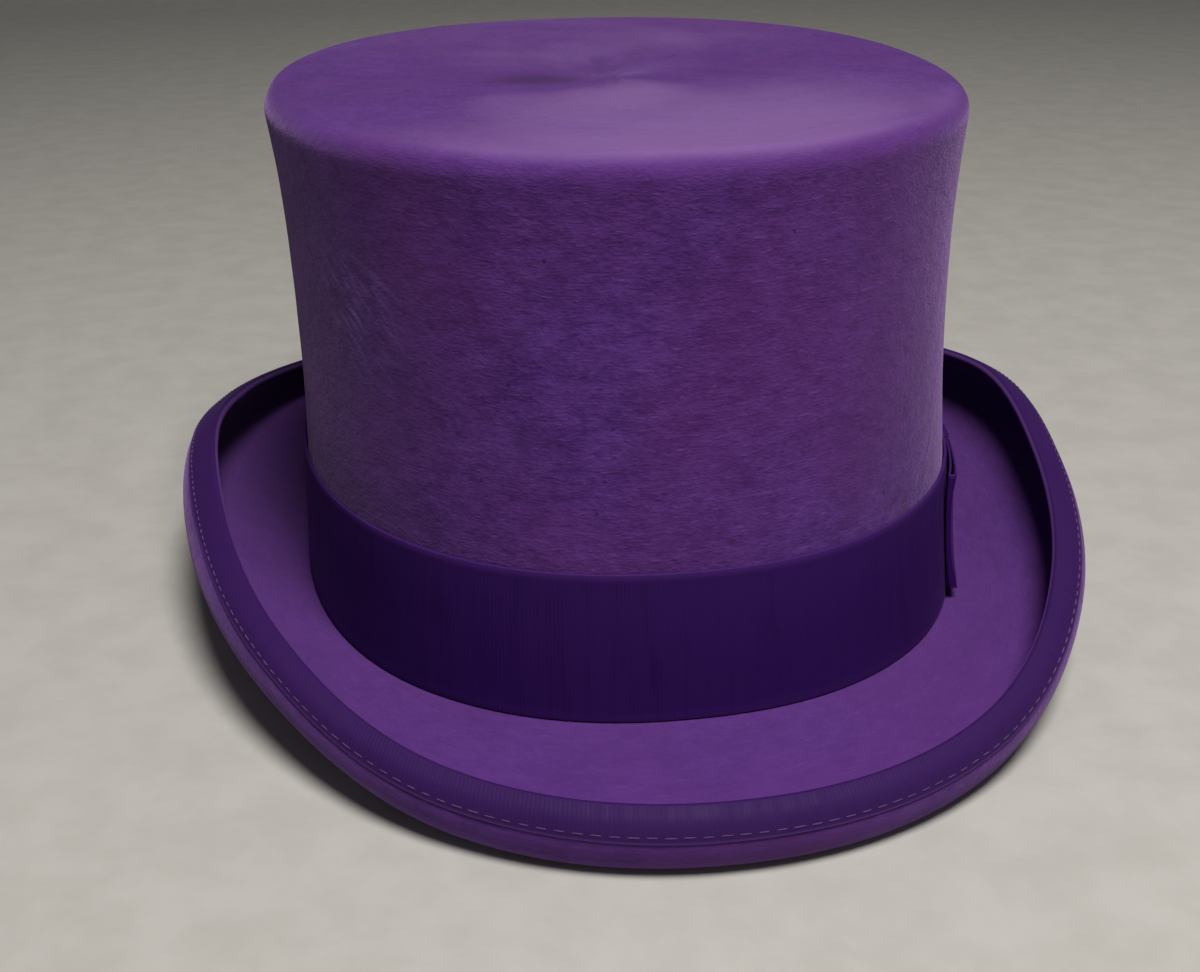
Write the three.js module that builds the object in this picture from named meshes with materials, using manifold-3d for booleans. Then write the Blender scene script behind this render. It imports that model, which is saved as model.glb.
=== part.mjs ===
// Top hat: a crown and brim blocked from one piece of felt, with a ribbon band and
// side bow, a bound and curled brim edge, and a sewn-in sweatband and lining.
//
// Millimetres, +Z up. The hat stands on its brim: z = 0 is the surface it stands on and
// the origin is the middle of its footprint. The front of the hat faces -Y and the
// wearer's left, where the bow sits, is +X. phi = 0 is the front, phi = 90 deg is +X.
import * as THREE from "three";
import { mergeVertices } from "three/addons/utils/BufferGeometryUtils.js";
import Module from "manifold-3d";

const wasm = await Module();
wasm.setup();

// ---- Driving dimensions, mm ----
const SEGMENTS = 48; // facets round the oval
const CREASE_Z = 6.0; // height of the line where the crown meets the brim, at the front
const CROWN_HEIGHT = 123.6; // crease to tip
const BASE_HALF_WIDTH = 86.5; // crown oval over the band, at the crease
const BASE_HALF_LENGTH = 107.9;
const CROWN_LEAN = 1.8; // the crown stands this far off upright at the tip, towards -X
const OVAL_EXPONENT = 2.2; // 2 is an ellipse
const CROWN_REFERENCE = 144.2; // height that the crown's outline is written against
const TIP_EDGE_RADIUS = 5.3; // soft edge between the crown wall and the tip
const FELT_INSET = 0.6; // felt's outer face, inside the nominal crown outline
const FELT_CROWN = 2.6; // felt thickness, crown
const FELT_BRIM = 2.0; // felt thickness, brim
const BAND_TOP = 40.9; // hatband's upper edge at the front
const BAND_DROP = 1.4; // how much lower that edge runs at the sides
const RIBBON = 0.6; // hatband ribbon thickness
const GAP = 0.3; // clearance between neighbouring layers
const SEAM_SLIT = 0.5; // gap where the two ends of a strip meet
const BINDING_WIDTH = 7.9; // binding, each side of the brim's edge
const BINDING = 0.5;
const THREAD = 0.5;
const BOW_LENGTH = 74; // along the band
const BOW_CENTRE = -26; // the knot stands this far along Y from the middle of the side
const BOW_KNOT_WIDTH = 12;
const SWEATBAND_BOTTOM = 3.6;
const SWEATBAND_TOP = 43;
const SWEATBAND = 1.0; // leather thickness
const LINING = 0.4;
const LINING_BOTTOM = 13;

// Brim sections, underside face, from the crease outwards: [distance out, height].
// Front, 22.5, 45, 67.5 and 90 degrees round; the other three quarters mirror them.
const BRIM_SECTIONS = [
  [[0, 4.0], [10.6, 3.3], [21.4, 2.0], [31.9, 0.4], [40.8, -0.5], [46.7, 1.9], [49.0, 7.8], [47.3, 12.8], [44.0, 15.4]],
  [[0, 3.6], [9.4, 3.1], [19.0, 2.2], [28.2, 0.8], [36.1, -0.05], [41.9, 2.9], [44.3, 8.6], [42.6, 13.8], [38.8, 16.7]],
  [[0, 2.4], [8.3, 2.9], [16.8, 4.5], [24.7, 6.7], [31.5, 10.0], [35.6, 14.3], [36.6, 18.9], [34.1, 23.3], [28.8, 26.0]],
  [[0, 1.6], [7.0, 4.3], [14.2, 7.9], [21.4, 12.2], [27.4, 16.7], [31.4, 21.5], [32.5, 26.4], [30.0, 31.3], [23.2, 35.4]],
  [[0, 1.3], [7.4, 5.8], [14.9, 11.1], [21.9, 16.7], [27.5, 21.8], [31.0, 27.2], [31.5, 32.2], [29.0, 37.0], [22.6, 41.0]],
];
const RAIL = { halfWidth: 106.4, halfLength: 143.1, exponent: 2.19 }; // plan direction of each brim section
const BRIM_BASE_INSET = 1.0; // where the brim sections start, inside the nominal outline

// ---- Crown ----
const TIP_Z = CREASE_Z + CROWN_HEIGHT;

function halfAxes(z) {
  const u = (z - CREASE_Z) / CROWN_REFERENCE;
  return [
    BASE_HALF_WIDTH - 10.1 * u + 1.2 * u * u + 12.0 * u * u * u,
    BASE_HALF_LENGTH - 16.1 * u - 6.6 * u * u + 18.8 * u * u * u,
  ];
}

const lean = (z) => (CROWN_LEAN * (z - CREASE_Z)) / CROWN_HEIGHT;

function ovalRadius(a, b, n, phi) {
  const s = Math.abs(Math.sin(phi)) / a;
  const c = Math.abs(Math.cos(phi)) / b;
  return Math.pow(Math.pow(s, n) + Math.pow(c, n), -1 / n);
}

// A point on the crown's outline at height z, inset by a distance, or scaled in towards the axis.
function crownPoint(phi, z, inset, share = 1) {
  const [a, b] = halfAxes(z);
  const r = ovalRadius(a - inset, b - inset, OVAL_EXPONENT, phi) * share;
  return new THREE.Vector3(r * Math.sin(phi) - lean(z), -r * Math.cos(phi), z);
}

// ---- Brim ----
function spline(p0, p1, p2, p3, t) {
  return [0, 1].map(
    (i) =>
      0.5 *
      (2 * p1[i] +
        (p2[i] - p0[i]) * t +
        (2 * p0[i] - 5 * p1[i] + 4 * p2[i] - p3[i]) * t * t +
        (3 * p1[i] - p0[i] - 3 * p2[i] + p3[i]) * t * t * t),
  );
}

// The brim's section at phi as a fine line with its running length.
const sectionCache = new Map();
function brimSection(phi) {
  const key = phi.toFixed(6);
  if (sectionCache.has(key)) return sectionCache.get(key);
  const folded = Math.abs(phi - Math.PI * Math.round(phi / Math.PI));
  const place = folded / (Math.PI / 8);
  const i = Math.min(Math.floor(place), 3);
  const row = (k) => BRIM_SECTIONS[Math.abs(k) <= 4 ? Math.abs(k) : 8 - k];
  const knots = BRIM_SECTIONS[0].map((_, j) =>
    spline(row(i - 1)[j], row(i)[j], row(i + 1)[j], row(i + 2)[j], place - i),
  );
  const n = knots.length;
  const before = [0, 1].map((k) => 2 * knots[0][k] - knots[1][k]);
  const after = [0, 1].map((k) => 2 * knots[n - 1][k] - knots[n - 2][k]);
  const all = [before, ...knots, after];
  const line = [];
  const STEPS = 8;
  for (let j = 0; j < n - 1; j++)
    for (let s = 0; s < STEPS; s++)
      line.push(spline(all[j], all[j + 1], all[j + 2], all[j + 3], s / STEPS));
  line.push(knots[n - 1]);
  const run = [0];
  for (let j = 1; j < line.length; j++)
    run.push(run[j - 1] + Math.hypot(line[j][0] - line[j - 1][0], line[j][1] - line[j - 1][1]));
  const [a, b] = halfAxes(CREASE_Z);
  const rBase = ovalRadius(a - BRIM_BASE_INSET, b - BRIM_BASE_INSET, OVAL_EXPONENT, phi);
  const rRail = ovalRadius(RAIL.halfWidth, RAIL.halfLength, RAIL.exponent, phi);
  const base = new THREE.Vector3(rBase * Math.sin(phi), -rBase * Math.cos(phi), 0);
  const out = new THREE.Vector3(rRail * Math.sin(phi), -rRail * Math.cos(phi), 0).sub(base).normalize();
  const made = { line, run, width: run[run.length - 1], base, out };
  sectionCache.set(key, made);
  return made;
}

// A point `along` mm out from the crease on the brim's underside, `above` mm off it towards the top face.
// The underside is pressed flat where the brim rests on its surface.
function brimPoint(phi, along, above) {
  const s = brimSection(phi);
  const last = s.line.length - 1;
  let j = 0;
  while (j < last - 1 && s.run[j + 1] < along) j++;
  const t = (along - s.run[j]) / (s.run[j + 1] - s.run[j]);
  const lo = s.line[Math.max(j - 1, 0)];
  const hi = s.line[Math.min(j + 2, last)];
  const len = Math.hypot(hi[0] - lo[0], hi[1] - lo[1]);
  const rho = s.line[j][0] + (s.line[j + 1][0] - s.line[j][0]) * t - ((hi[1] - lo[1]) / len) * above;
  const z = s.line[j][1] + (s.line[j + 1][1] - s.line[j][1]) * t + ((hi[0] - lo[0]) / len) * above;
  return s.base.clone().addScaledVector(s.out, rho).setZ(Math.max(z, above > 0 ? z : 0));
}
const brimWidth = (phi) => brimSection(phi).width;
const brimBaseZ = (phi) => brimSection(phi).line[0][1];

// The brim's top face at a distance out from the start of its section.
function brimTop(phi, rho) {
  const s = brimSection(phi);
  let lo = 0;
  let hi = 20;
  for (let k = 0; k < 30; k++) {
    const mid = (lo + hi) / 2;
    const p = brimPoint(phi, mid, FELT_BRIM).setZ(0).sub(s.base);
    if (p.dot(s.out) < rho) lo = mid;
    else hi = mid;
  }
  return brimPoint(phi, (lo + hi) / 2, FELT_BRIM);
}
const bandBottom = (phi) => brimTop(phi, BRIM_BASE_INSET + RIBBON - GAP).z + 0.35;
const bandTop = (phi) => BAND_TOP - BAND_DROP * Math.sin(phi) ** 2;

// ---- Building solids ----
// A ring or cup swept round the oval. section(phi) lists the profile's points; it either closes on
// itself (ring) or starts and ends on the axis. The profile runs anticlockwise seen with the axis on the left.
function sweep(section, closed = true, segments = SEGMENTS) {
  const front = section(0);
  if (closed) front.push(front[0].clone());
  const profile = front.map((p) => new THREE.Vector2(Math.hypot(p.x, p.y), p.z));
  const g = new THREE.LatheGeometry(profile, segments);
  const position = g.getAttribute("position");
  const n = profile.length;
  for (let i = 0; i <= segments; i++) {
    const ring = section(((i % segments) / segments) * Math.PI * 2);
    if (closed) ring.push(ring[0]);
    ring.forEach((p, j) => position.setXYZ(i * n + j, p.x, p.y, p.z));
  }
  return clean(g);
}

// Keeps only merged positions and drops the collapsed triangles at the axis.
function clean(g) {
  const bare = new THREE.BufferGeometry().setAttribute("position", g.getAttribute("position"));
  if (g.index) bare.setIndex(g.index);
  const m = mergeVertices(bare, 1e-3);
  const keep = [];
  const ix = m.index.array;
  for (let i = 0; i < ix.length; i += 3)
    if (ix[i] !== ix[i + 1] && ix[i + 1] !== ix[i + 2] && ix[i] !== ix[i + 2])
      keep.push(ix[i], ix[i + 1], ix[i + 2]);
  m.setIndex(keep);
  return m;
}

function toSolid(g) {
  const m = clean(g);
  return new wasm.Manifold(
    new wasm.Mesh({
      numProp: 3,
      vertProperties: new Float32Array(m.getAttribute("position").array),
      triVerts: new Uint32Array(m.index.array),
    }),
  );
}

function fromSolid(s) {
  const m = s.getMesh();
  return new THREE.BufferGeometry()
    .setAttribute("position", new THREE.BufferAttribute(new Float32Array(m.vertProperties), 3))
    .setIndex(new THREE.BufferAttribute(new Uint32Array(m.triVerts), 1));
}

// Cuts the slit where the two ends of a strip meet, at one side of the hat.
function slit(g, [x0, x1], [y0, y1]) {
  const box = new THREE.BoxGeometry(x1 - x0, y1 - y0, 300).translate((x0 + x1) / 2, (y0 + y1) / 2, 60);
  return fromSolid(toSolid(g).subtract(toSolid(box)));
}

const hat = new THREE.Group();
hat.name = "top_hat";

function add(name, geometry, color, roughness, extra = {}) {
  geometry.computeVertexNormals();
  const mesh = new THREE.Mesh(
    geometry,
    new THREE.MeshStandardMaterial({ color, roughness, metalness: 0, ...extra }),
  );
  mesh.name = name;
  hat.add(mesh);
}

// A band that stands against the crown's wall, between two insets, sampled at the given heights.
function wallRing(heights, insetOut, insetIn) {
  return sweep((phi) => [
    ...heights.map((z) => crownPoint(phi, z, insetOut)),
    ...[...heights].reverse().map((z) => crownPoint(phi, z, insetIn)),
  ]);
}
const between = (a, b, n) => Array.from({ length: n }, (_, i) => a + ((b - a) * i) / (n - 1));

// ---- Felt body: crown and brim in one piece ----
const INNER = FELT_INSET + FELT_CROWN; // inset of the crown wall's inner face
const tipInner = TIP_Z - FELT_CROWN;
const brimFractions = [0.06, 0.2, 0.34, 0.48, 0.6, 0.69, 0.77, 0.84, 0.9, 0.955];
const wallHeights = [26, 50, 74, 98];
const FELT_SHORT = 0.9; // the binding's fold covers the last of the brim's section

function feltSection(phi) {
  const w = brimWidth(phi) - FELT_SHORT;
  const rIn = TIP_EDGE_RADIUS - FELT_CROWN;
  const pts = [];
  pts.push(new THREE.Vector3(-lean(tipInner), 0, tipInner));
  for (const share of [0.45, 0.85]) pts.push(crownPoint(phi, tipInner, INNER + rIn, share));
  for (const a of [90, 45, 0]) {
    const r = THREE.MathUtils.degToRad(a);
    pts.push(crownPoint(phi, tipInner - rIn + rIn * Math.sin(r), INNER + rIn - rIn * Math.cos(r)));
  }
  for (const z of [...wallHeights].reverse()) pts.push(crownPoint(phi, z, INNER));
  const zb = brimBaseZ(phi);
  pts.push(crownPoint(phi, zb + 3.6, INNER), crownPoint(phi, zb + 1.2, INNER - 0.3), crownPoint(phi, zb + 0.2, INNER - 1.2));
  for (const f of brimFractions) pts.push(brimPoint(phi, f * w, 0));
  pts.push(brimPoint(phi, w - 0.35, 0.2), brimPoint(phi, w, FELT_BRIM / 2), brimPoint(phi, w - 0.35, FELT_BRIM - 0.2));
  for (const f of [...brimFractions].reverse()) pts.push(brimPoint(phi, f * w, FELT_BRIM));
  pts.push(crownPoint(phi, brimTop(phi, 0.4).z + 0.1, FELT_INSET));
  for (const z of [12, ...wallHeights]) pts.push(crownPoint(phi, z, FELT_INSET));
  const c = TIP_Z - TIP_EDGE_RADIUS;
  for (const a of [0, 30, 60, 90]) {
    const r = THREE.MathUtils.degToRad(a);
    pts.push(
      crownPoint(phi, c + TIP_EDGE_RADIUS * Math.sin(r), FELT_INSET + TIP_EDGE_RADIUS * (1 - Math.cos(r))),
    );
  }
  for (const share of [0.6]) pts.push(crownPoint(phi, TIP_Z, FELT_INSET + TIP_EDGE_RADIUS, share));
  pts.push(new THREE.Vector3(-lean(TIP_Z), 0, TIP_Z));
  return pts;
}
add("felt_body", sweep(feltSection, false), 0x44275e, 0.95);

// ---- Hatband: a grosgrain strip round the crown, its ends meeting under the bow ----
const bandOut = GAP - RIBBON; // outer face stands just outside the nominal outline
const bandSection = (phi) => {
  const rows = between(bandBottom(phi), bandTop(phi), 3);
  return [
    ...rows.map((z) => crownPoint(phi, z, bandOut)),
    ...[...rows].reverse().map((z) => crownPoint(phi, z, GAP)),
  ];
};
add(
  "hatband",
  slit(sweep(bandSection), [60, 100], [BOW_CENTRE - SEAM_SLIT / 2, BOW_CENTRE + SEAM_SLIT / 2]),
  0x281143,
  0.7,
);

// ---- Bow: one flattened ring of ribbon, held at its middle by a knot ----
const crownX = (z) => halfAxes(z)[0] - lean(z);
const BOW_Z = [8.7, 38.7]; // lower and upper edge
const baseX = crownX(BOW_Z[0]);
// Plan outline at the band's lower edge, at an outward offset and a distance y along the side.
function bowPlan(y, outward) {
  const [a, b] = halfAxes(BOW_Z[0]);
  const aa = a + outward;
  const bb = b + outward;
  return new THREE.Vector2(
    aa * Math.pow(1 - Math.pow(Math.abs(y) / bb, OVAL_EXPONENT), 1 / OVAL_EXPONENT),
    y,
  );
}
// Leans a vertical extrusion in so that it follows the crown's wall.
function leanWithWall(g) {
  const p = g.getAttribute("position");
  for (let i = 0; i < p.count; i++) p.setX(i, p.getX(i) + crownX(p.getZ(i)) - baseX);
  return g;
}
const half = BOW_LENGTH / 2;
const KNOT_BACK = [0.6, 1.0]; // outward offsets from the nominal outline
const BOW_INNER = [1.3, 1.8];
const BOW_OUTER = [2.7, 3.2];
const KNOT_FRONT = [3.5, 4.0];
{
  const outer = new THREE.Shape();
  const steps = between(BOW_CENTRE - half, BOW_CENTRE + half, 14);
  const line = [
    ...steps.map((y) => bowPlan(y, BOW_OUTER[1])),
    ...[...steps].reverse().map((y) => bowPlan(y, BOW_INNER[0])),
  ];
  outer.setFromPoints(line);
  const inset = half - 0.6;
  const hollow = between(BOW_CENTRE - inset, BOW_CENTRE + inset, 14);
  const hole = new THREE.Path().setFromPoints([
    ...hollow.map((y) => bowPlan(y, BOW_INNER[1])),
    ...[...hollow].reverse().map((y) => bowPlan(y, BOW_OUTER[0])),
  ]);
  outer.holes.push(hole);
  const g = new THREE.ExtrudeGeometry(outer, { depth: BOW_Z[1] - BOW_Z[0], steps: 3, bevelEnabled: false });
  g.translate(0, 0, BOW_Z[0]);
  add("bow_ribbon", clean(leanWithWall(g)), 0x241040, 0.7);
}
{
  const z0 = BOW_Z[0] - 0.7;
  const z1 = BOW_Z[1] + 0.7;
  const shape = new THREE.Shape([
    new THREE.Vector2(KNOT_BACK[0], z0),
    new THREE.Vector2(KNOT_FRONT[1], z0),
    new THREE.Vector2(KNOT_FRONT[1], z1),
    new THREE.Vector2(KNOT_BACK[0], z1),
  ]);
  shape.holes.push(
    new THREE.Path([
      new THREE.Vector2(KNOT_BACK[1], z0 + 0.4),
      new THREE.Vector2(KNOT_BACK[1], z1 - 0.4),
      new THREE.Vector2(KNOT_FRONT[0], z1 - 0.4),
      new THREE.Vector2(KNOT_FRONT[0], z0 + 0.4),
    ]),
  );
  const g = new THREE.ExtrudeGeometry(shape, { depth: BOW_KNOT_WIDTH, steps: 4, bevelEnabled: false });
  // The shape lies in (outward, height); its extrusion runs along the side of the hat.
  const p = g.getAttribute("position");
  for (let i = 0; i < p.count; i++) {
    const y = BOW_CENTRE + BOW_KNOT_WIDTH / 2 - p.getZ(i);
    const z = p.getY(i);
    const plan = bowPlan(y, p.getX(i));
    p.setXYZ(i, plan.x + crownX(z) - baseX, y, z);
  }
  add("bow_knot", clean(g), 0x241040, 0.7);
}

// ---- Brim binding: ribbon folded over the brim's edge, and the thread that sews it ----
const BIND_OUT = [-GAP - BINDING, -GAP];
const BIND_IN = [FELT_BRIM + GAP, FELT_BRIM + GAP + BINDING];
function bindingSection(phi) {
  const w = brimWidth(phi);
  const edge = w - FELT_SHORT + GAP; // inside of the fold
  const start = w - BINDING_WIDTH;
  const down = [start, start + 2.5, start + 5.0, edge - 0.5];
  return [
    ...down.map((l) => brimPoint(phi, l, BIND_OUT[0])),
    brimPoint(phi, edge + 0.35, BIND_OUT[0] + 0.3),
    brimPoint(phi, edge + BINDING, FELT_BRIM / 2),
    brimPoint(phi, edge + 0.35, BIND_IN[1] - 0.3),
    ...[...down].reverse().map((l) => brimPoint(phi, l, BIND_IN[1])),
    ...down.map((l) => brimPoint(phi, l, BIND_IN[0])),
    brimPoint(phi, edge, BIND_IN[0] - 0.3),
    brimPoint(phi, edge, BIND_OUT[1] + 0.3),
    ...[...down].reverse().map((l) => brimPoint(phi, l, BIND_OUT[1])),
  ];
}
add(
  "brim_binding",
  slit(sweep(bindingSection), [-SEAM_SLIT / 2, SEAM_SLIT / 2], [120, 170]),
  0x3a1d57,
  0.7,
);
add(
  "binding_stitching",
  sweep((phi) => {
    const l = brimWidth(phi) - BINDING_WIDTH + 1.1;
    const o = BIND_OUT[0] - 0.15;
    return [
      brimPoint(phi, l, o),
      brimPoint(phi, l - THREAD / 2, o - THREAD / 2),
      brimPoint(phi, l, o - THREAD),
      brimPoint(phi, l + THREAD / 2, o - THREAD / 2),
    ];
  }),
  0x6a4a8c,
  0.6,
);

// ---- Sweatband: leather strip inside the head opening, with its reed, tape and trim ----
const SWEAT_OUT = 5.2; // inset of the leather's outer face
const SWEAT_IN = SWEAT_OUT + SWEATBAND;
const rearSlit = [[-SEAM_SLIT / 2, SEAM_SLIT / 2], [80, 120]];
add(
  "sweatband",
  slit(wallRing(between(SWEATBAND_BOTTOM, SWEATBAND_TOP, 3), SWEAT_OUT, SWEAT_IN), ...rearSlit),
  0x2b2320,
  0.45,
);
add("sweatband_reed", slit(wallRing([4.3, 7.3], 4.0, 4.5), ...rearSlit), 0xd8d2c4, 0.4);
add(
  "reed_tape",
  slit(
    sweep((phi) => [
      crownPoint(phi, 3.6, 3.5),
      crownPoint(phi, 9.4, 3.5),
      crownPoint(phi, 9.4, 3.8),
      crownPoint(phi, 4.0, 3.8),
      crownPoint(phi, 4.0, 4.7),
      crownPoint(phi, 9.4, 4.7),
      crownPoint(phi, 9.4, 4.95),
      crownPoint(phi, 3.6, 4.95),
    ]),
    ...rearSlit,
  ),
  0x1a1620,
  0.85,
);
add(
  "sweatband_stitching",
  sweep((phi) => {
    const z = SWEATBAND_BOTTOM + 3.2;
    const d = SWEAT_IN + 0.2;
    return [
      crownPoint(phi, z, d),
      crownPoint(phi, z + THREAD / 2, d + THREAD / 2),
      crownPoint(phi, z, d + THREAD),
      crownPoint(phi, z - THREAD / 2, d + THREAD / 2),
    ];
  }),
  0x4b3a30,
  0.6,
);

// A patch that lies against one side of the crown's wall inside the hat.
// `at` is the angle of its middle, `span` its width along the wall.
function wallPatch(at, span, [z0, z1], insetOut, insetIn) {
  const g = new THREE.BoxGeometry(span, insetIn - insetOut, z1 - z0, 8, 1, 2);
  const p = g.getAttribute("position");
  const [a, b] = halfAxes((z0 + z1) / 2);
  const r = ovalRadius(a, b, OVAL_EXPONENT, at);
  for (let i = 0; i < p.count; i++) {
    const phi = at - p.getX(i) / r;
    const inset = (insetOut + insetIn) / 2 - p.getY(i);
    const z = (z0 + z1) / 2 + p.getZ(i);
    const q = crownPoint(phi, z, inset);
    p.setXYZ(i, q.x, q.y, q.z);
  }
  return clean(g);
}
add("sweatband_seam_tape", wallPatch(Math.PI, 14, [10, 40], 4.2, 4.6), 0x2a2430, 0.8);
add("size_label", wallPatch(Math.PI - 0.62, 20, [17, 29], SWEAT_IN + 0.3, SWEAT_IN + 0.6), 0xe6e0d2, 0.8);

// Small flat bow over the sweatband's rear joint.
{
  const shape = new THREE.Shape();
  const outline = [
    [-15, -4.5], [-8, -3.0], [-2.5, -1.8], [-2.5, -2.8], [2.5, -2.8], [2.5, -1.8], [8, -3.0], [15, -4.5],
    [15, 4.5], [8, 3.0], [2.5, 1.8], [2.5, 2.8], [-2.5, 2.8], [-2.5, 1.8], [-8, 3.0], [-15, 4.5],
  ];
  shape.setFromPoints(outline.map(([x, y]) => new THREE.Vector2(x, y)));
  const g = new THREE.ExtrudeGeometry(shape, { depth: 1.2, steps: 1, bevelEnabled: false });
  const p = g.getAttribute("position");
  const z0 = 32;
  for (let i = 0; i < p.count; i++) {
    const z = z0 + p.getY(i);
    const [a, b] = halfAxes(z);
    const inset = SWEAT_IN + 0.3 + p.getZ(i);
    const r = ovalRadius(a, b, OVAL_EXPONENT, Math.PI);
    const q = crownPoint(Math.PI - p.getX(i) / r, z, inset + 0.1);
    p.setXYZ(i, q.x, q.y, q.z);
  }
  add("sweatband_bow", clean(g), 0x241040, 0.5);
}

// ---- Lining: satin wall and tip, and the clear guard under the tip ----
const LIN_OUT = INNER + GAP;
const LIN_IN = LIN_OUT + LINING;
const linTop = tipInner - 3.4;
add(
  "lining_side",
  wallRing([LINING_BOTTOM, 44, 74, 104, linTop], LIN_OUT, LIN_IN),
  0x171219,
  0.35,
);
const discZ = tipInner - GAP - LINING;
add(
  "lining_tip",
  sweep(
    (phi) => [
      new THREE.Vector3(-lean(discZ), 0, discZ),
      crownPoint(phi, discZ, INNER + 3.4, 0.5),
      crownPoint(phi, discZ, INNER + 3.4),
      crownPoint(phi, discZ + LINING, INNER + 3.4),
      crownPoint(phi, discZ + LINING, INNER + 3.4, 0.5),
      new THREE.Vector3(-lean(discZ + LINING), 0, discZ + LINING),
    ],
    false,
  ),
  0x171219,
  0.35,
);
{
  const shape = new THREE.Shape();
  shape.absellipse(0, 0, 38, 52, 0, Math.PI * 2, false, 0);
  const g = new THREE.ExtrudeGeometry(shape, { depth: 0.3, bevelEnabled: false, curveSegments: 24 });
  g.translate(-lean(discZ), 0, discZ - GAP - 0.3);
  add("tip_guard", clean(g), 0xd9dde0, 0.15, { transparent: true, opacity: 0.35 });
}

export default hat;
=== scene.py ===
"""Top hat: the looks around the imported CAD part. Metres in Blender; the shape code works in millimetres.

phi runs round the hat: 0 is the front (-Y), 90 degrees is +X, the side of the bow.
"""

import math

import bpy
import numpy as np
from mathutils import Matrix, Vector


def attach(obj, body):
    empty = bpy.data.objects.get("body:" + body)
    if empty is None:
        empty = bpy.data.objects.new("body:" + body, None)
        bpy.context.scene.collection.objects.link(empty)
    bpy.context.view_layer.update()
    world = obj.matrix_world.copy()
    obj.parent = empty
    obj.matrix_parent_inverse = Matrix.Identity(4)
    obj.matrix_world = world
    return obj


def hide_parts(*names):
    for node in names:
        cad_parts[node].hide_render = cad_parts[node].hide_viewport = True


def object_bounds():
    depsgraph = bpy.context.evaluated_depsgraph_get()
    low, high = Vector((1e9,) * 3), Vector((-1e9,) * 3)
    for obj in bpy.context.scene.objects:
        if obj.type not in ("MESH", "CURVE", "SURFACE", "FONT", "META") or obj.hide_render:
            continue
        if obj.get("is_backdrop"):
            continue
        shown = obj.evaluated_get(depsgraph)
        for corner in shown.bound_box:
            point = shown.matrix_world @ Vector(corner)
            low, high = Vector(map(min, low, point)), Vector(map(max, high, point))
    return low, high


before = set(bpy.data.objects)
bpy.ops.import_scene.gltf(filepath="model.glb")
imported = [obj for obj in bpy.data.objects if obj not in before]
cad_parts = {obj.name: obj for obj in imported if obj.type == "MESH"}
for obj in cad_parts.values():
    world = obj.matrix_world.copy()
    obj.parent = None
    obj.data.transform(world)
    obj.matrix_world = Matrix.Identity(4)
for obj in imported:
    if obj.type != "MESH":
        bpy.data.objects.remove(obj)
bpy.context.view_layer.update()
PI = math.pi

# ---------------------------------------------------------------- driving dimensions, mm, as in the CAD part
CREASE_Z = 6.0
TIP_Z = 129.6
TIP_EDGE = 5.3
FELT_INSET = 0.6
FELT_CROWN = 2.6
FELT_BRIM = 2.0
CROWN_LEAN = 1.8
INNER = FELT_INSET + FELT_CROWN
TIP_INNER = TIP_Z - FELT_CROWN
TIP_DIP = 1.3  # the tip sinks a little at its middle
BAND_TOP = 40.9
BAND_DROP = 1.4
BINDING_WIDTH = 7.9
EXPONENT = 2.2
SECTIONS = np.array([
    [[0, 4.0], [10.6, 3.3], [21.4, 2.0], [31.9, 0.4], [40.8, -0.5], [46.7, 1.9], [49.0, 7.8], [47.3, 12.8], [44.0, 15.4]],
    [[0, 3.6], [9.4, 3.1], [19.0, 2.2], [28.2, 0.8], [36.1, -0.05], [41.9, 2.9], [44.3, 8.6], [42.6, 13.8], [38.8, 16.7]],
    [[0, 2.4], [8.3, 2.9], [16.8, 4.5], [24.7, 6.7], [31.5, 10.0], [35.6, 14.3], [36.6, 18.9], [34.1, 23.3], [28.8, 26.0]],
    [[0, 1.6], [7.0, 4.3], [14.2, 7.9], [21.4, 12.2], [27.4, 16.7], [31.4, 21.5], [32.5, 26.4], [30.0, 31.3], [23.2, 35.4]],
    [[0, 1.3], [7.4, 5.8], [14.9, 11.1], [21.9, 16.7], [27.5, 21.8], [31.0, 27.2], [31.5, 32.2], [29.0, 37.0], [22.6, 41.0]],
])


def half_axes(z):
    u = (np.asarray(z, float) - CREASE_Z) / 144.2
    return 86.5 - 10.1 * u + 1.2 * u * u + 12.0 * u * u * u, 107.9 - 16.1 * u - 6.6 * u * u + 18.8 * u * u * u


def lean(z):
    """The crown stands a little off upright, towards -X."""
    return CROWN_LEAN * (np.asarray(z, float) - CREASE_Z) / 123.6


def oval(a, b, n, phi):
    return (np.abs(np.sin(phi) / a) ** n + np.abs(np.cos(phi) / b) ** n) ** (-1 / n)


def crown(phi, z, inset, share=1.0):
    """Points (N, K, 3) of the crown's outline. phi is (N,); z, inset and share are numbers, (K,) or (N, K)."""
    p = phi[:, None]
    z = np.broadcast_to(np.asarray(z, float), np.broadcast_shapes(np.shape(z), np.shape(inset), np.shape(share), (len(phi), 1)))
    a, b = half_axes(z)
    r = oval(a - inset, b - inset, EXPONENT, p) * share
    return np.stack([r * np.sin(p) - lean(z), -r * np.cos(p), z + 0 * r], -1)


def catmull(p0, p1, p2, p3, t):
    return 0.5 * (2 * p1 + (p2 - p0) * t + (2 * p0 - 5 * p1 + 4 * p2 - p3) * t * t + (3 * p1 - p0 - 3 * p2 + p3) * t * t * t)


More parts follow.
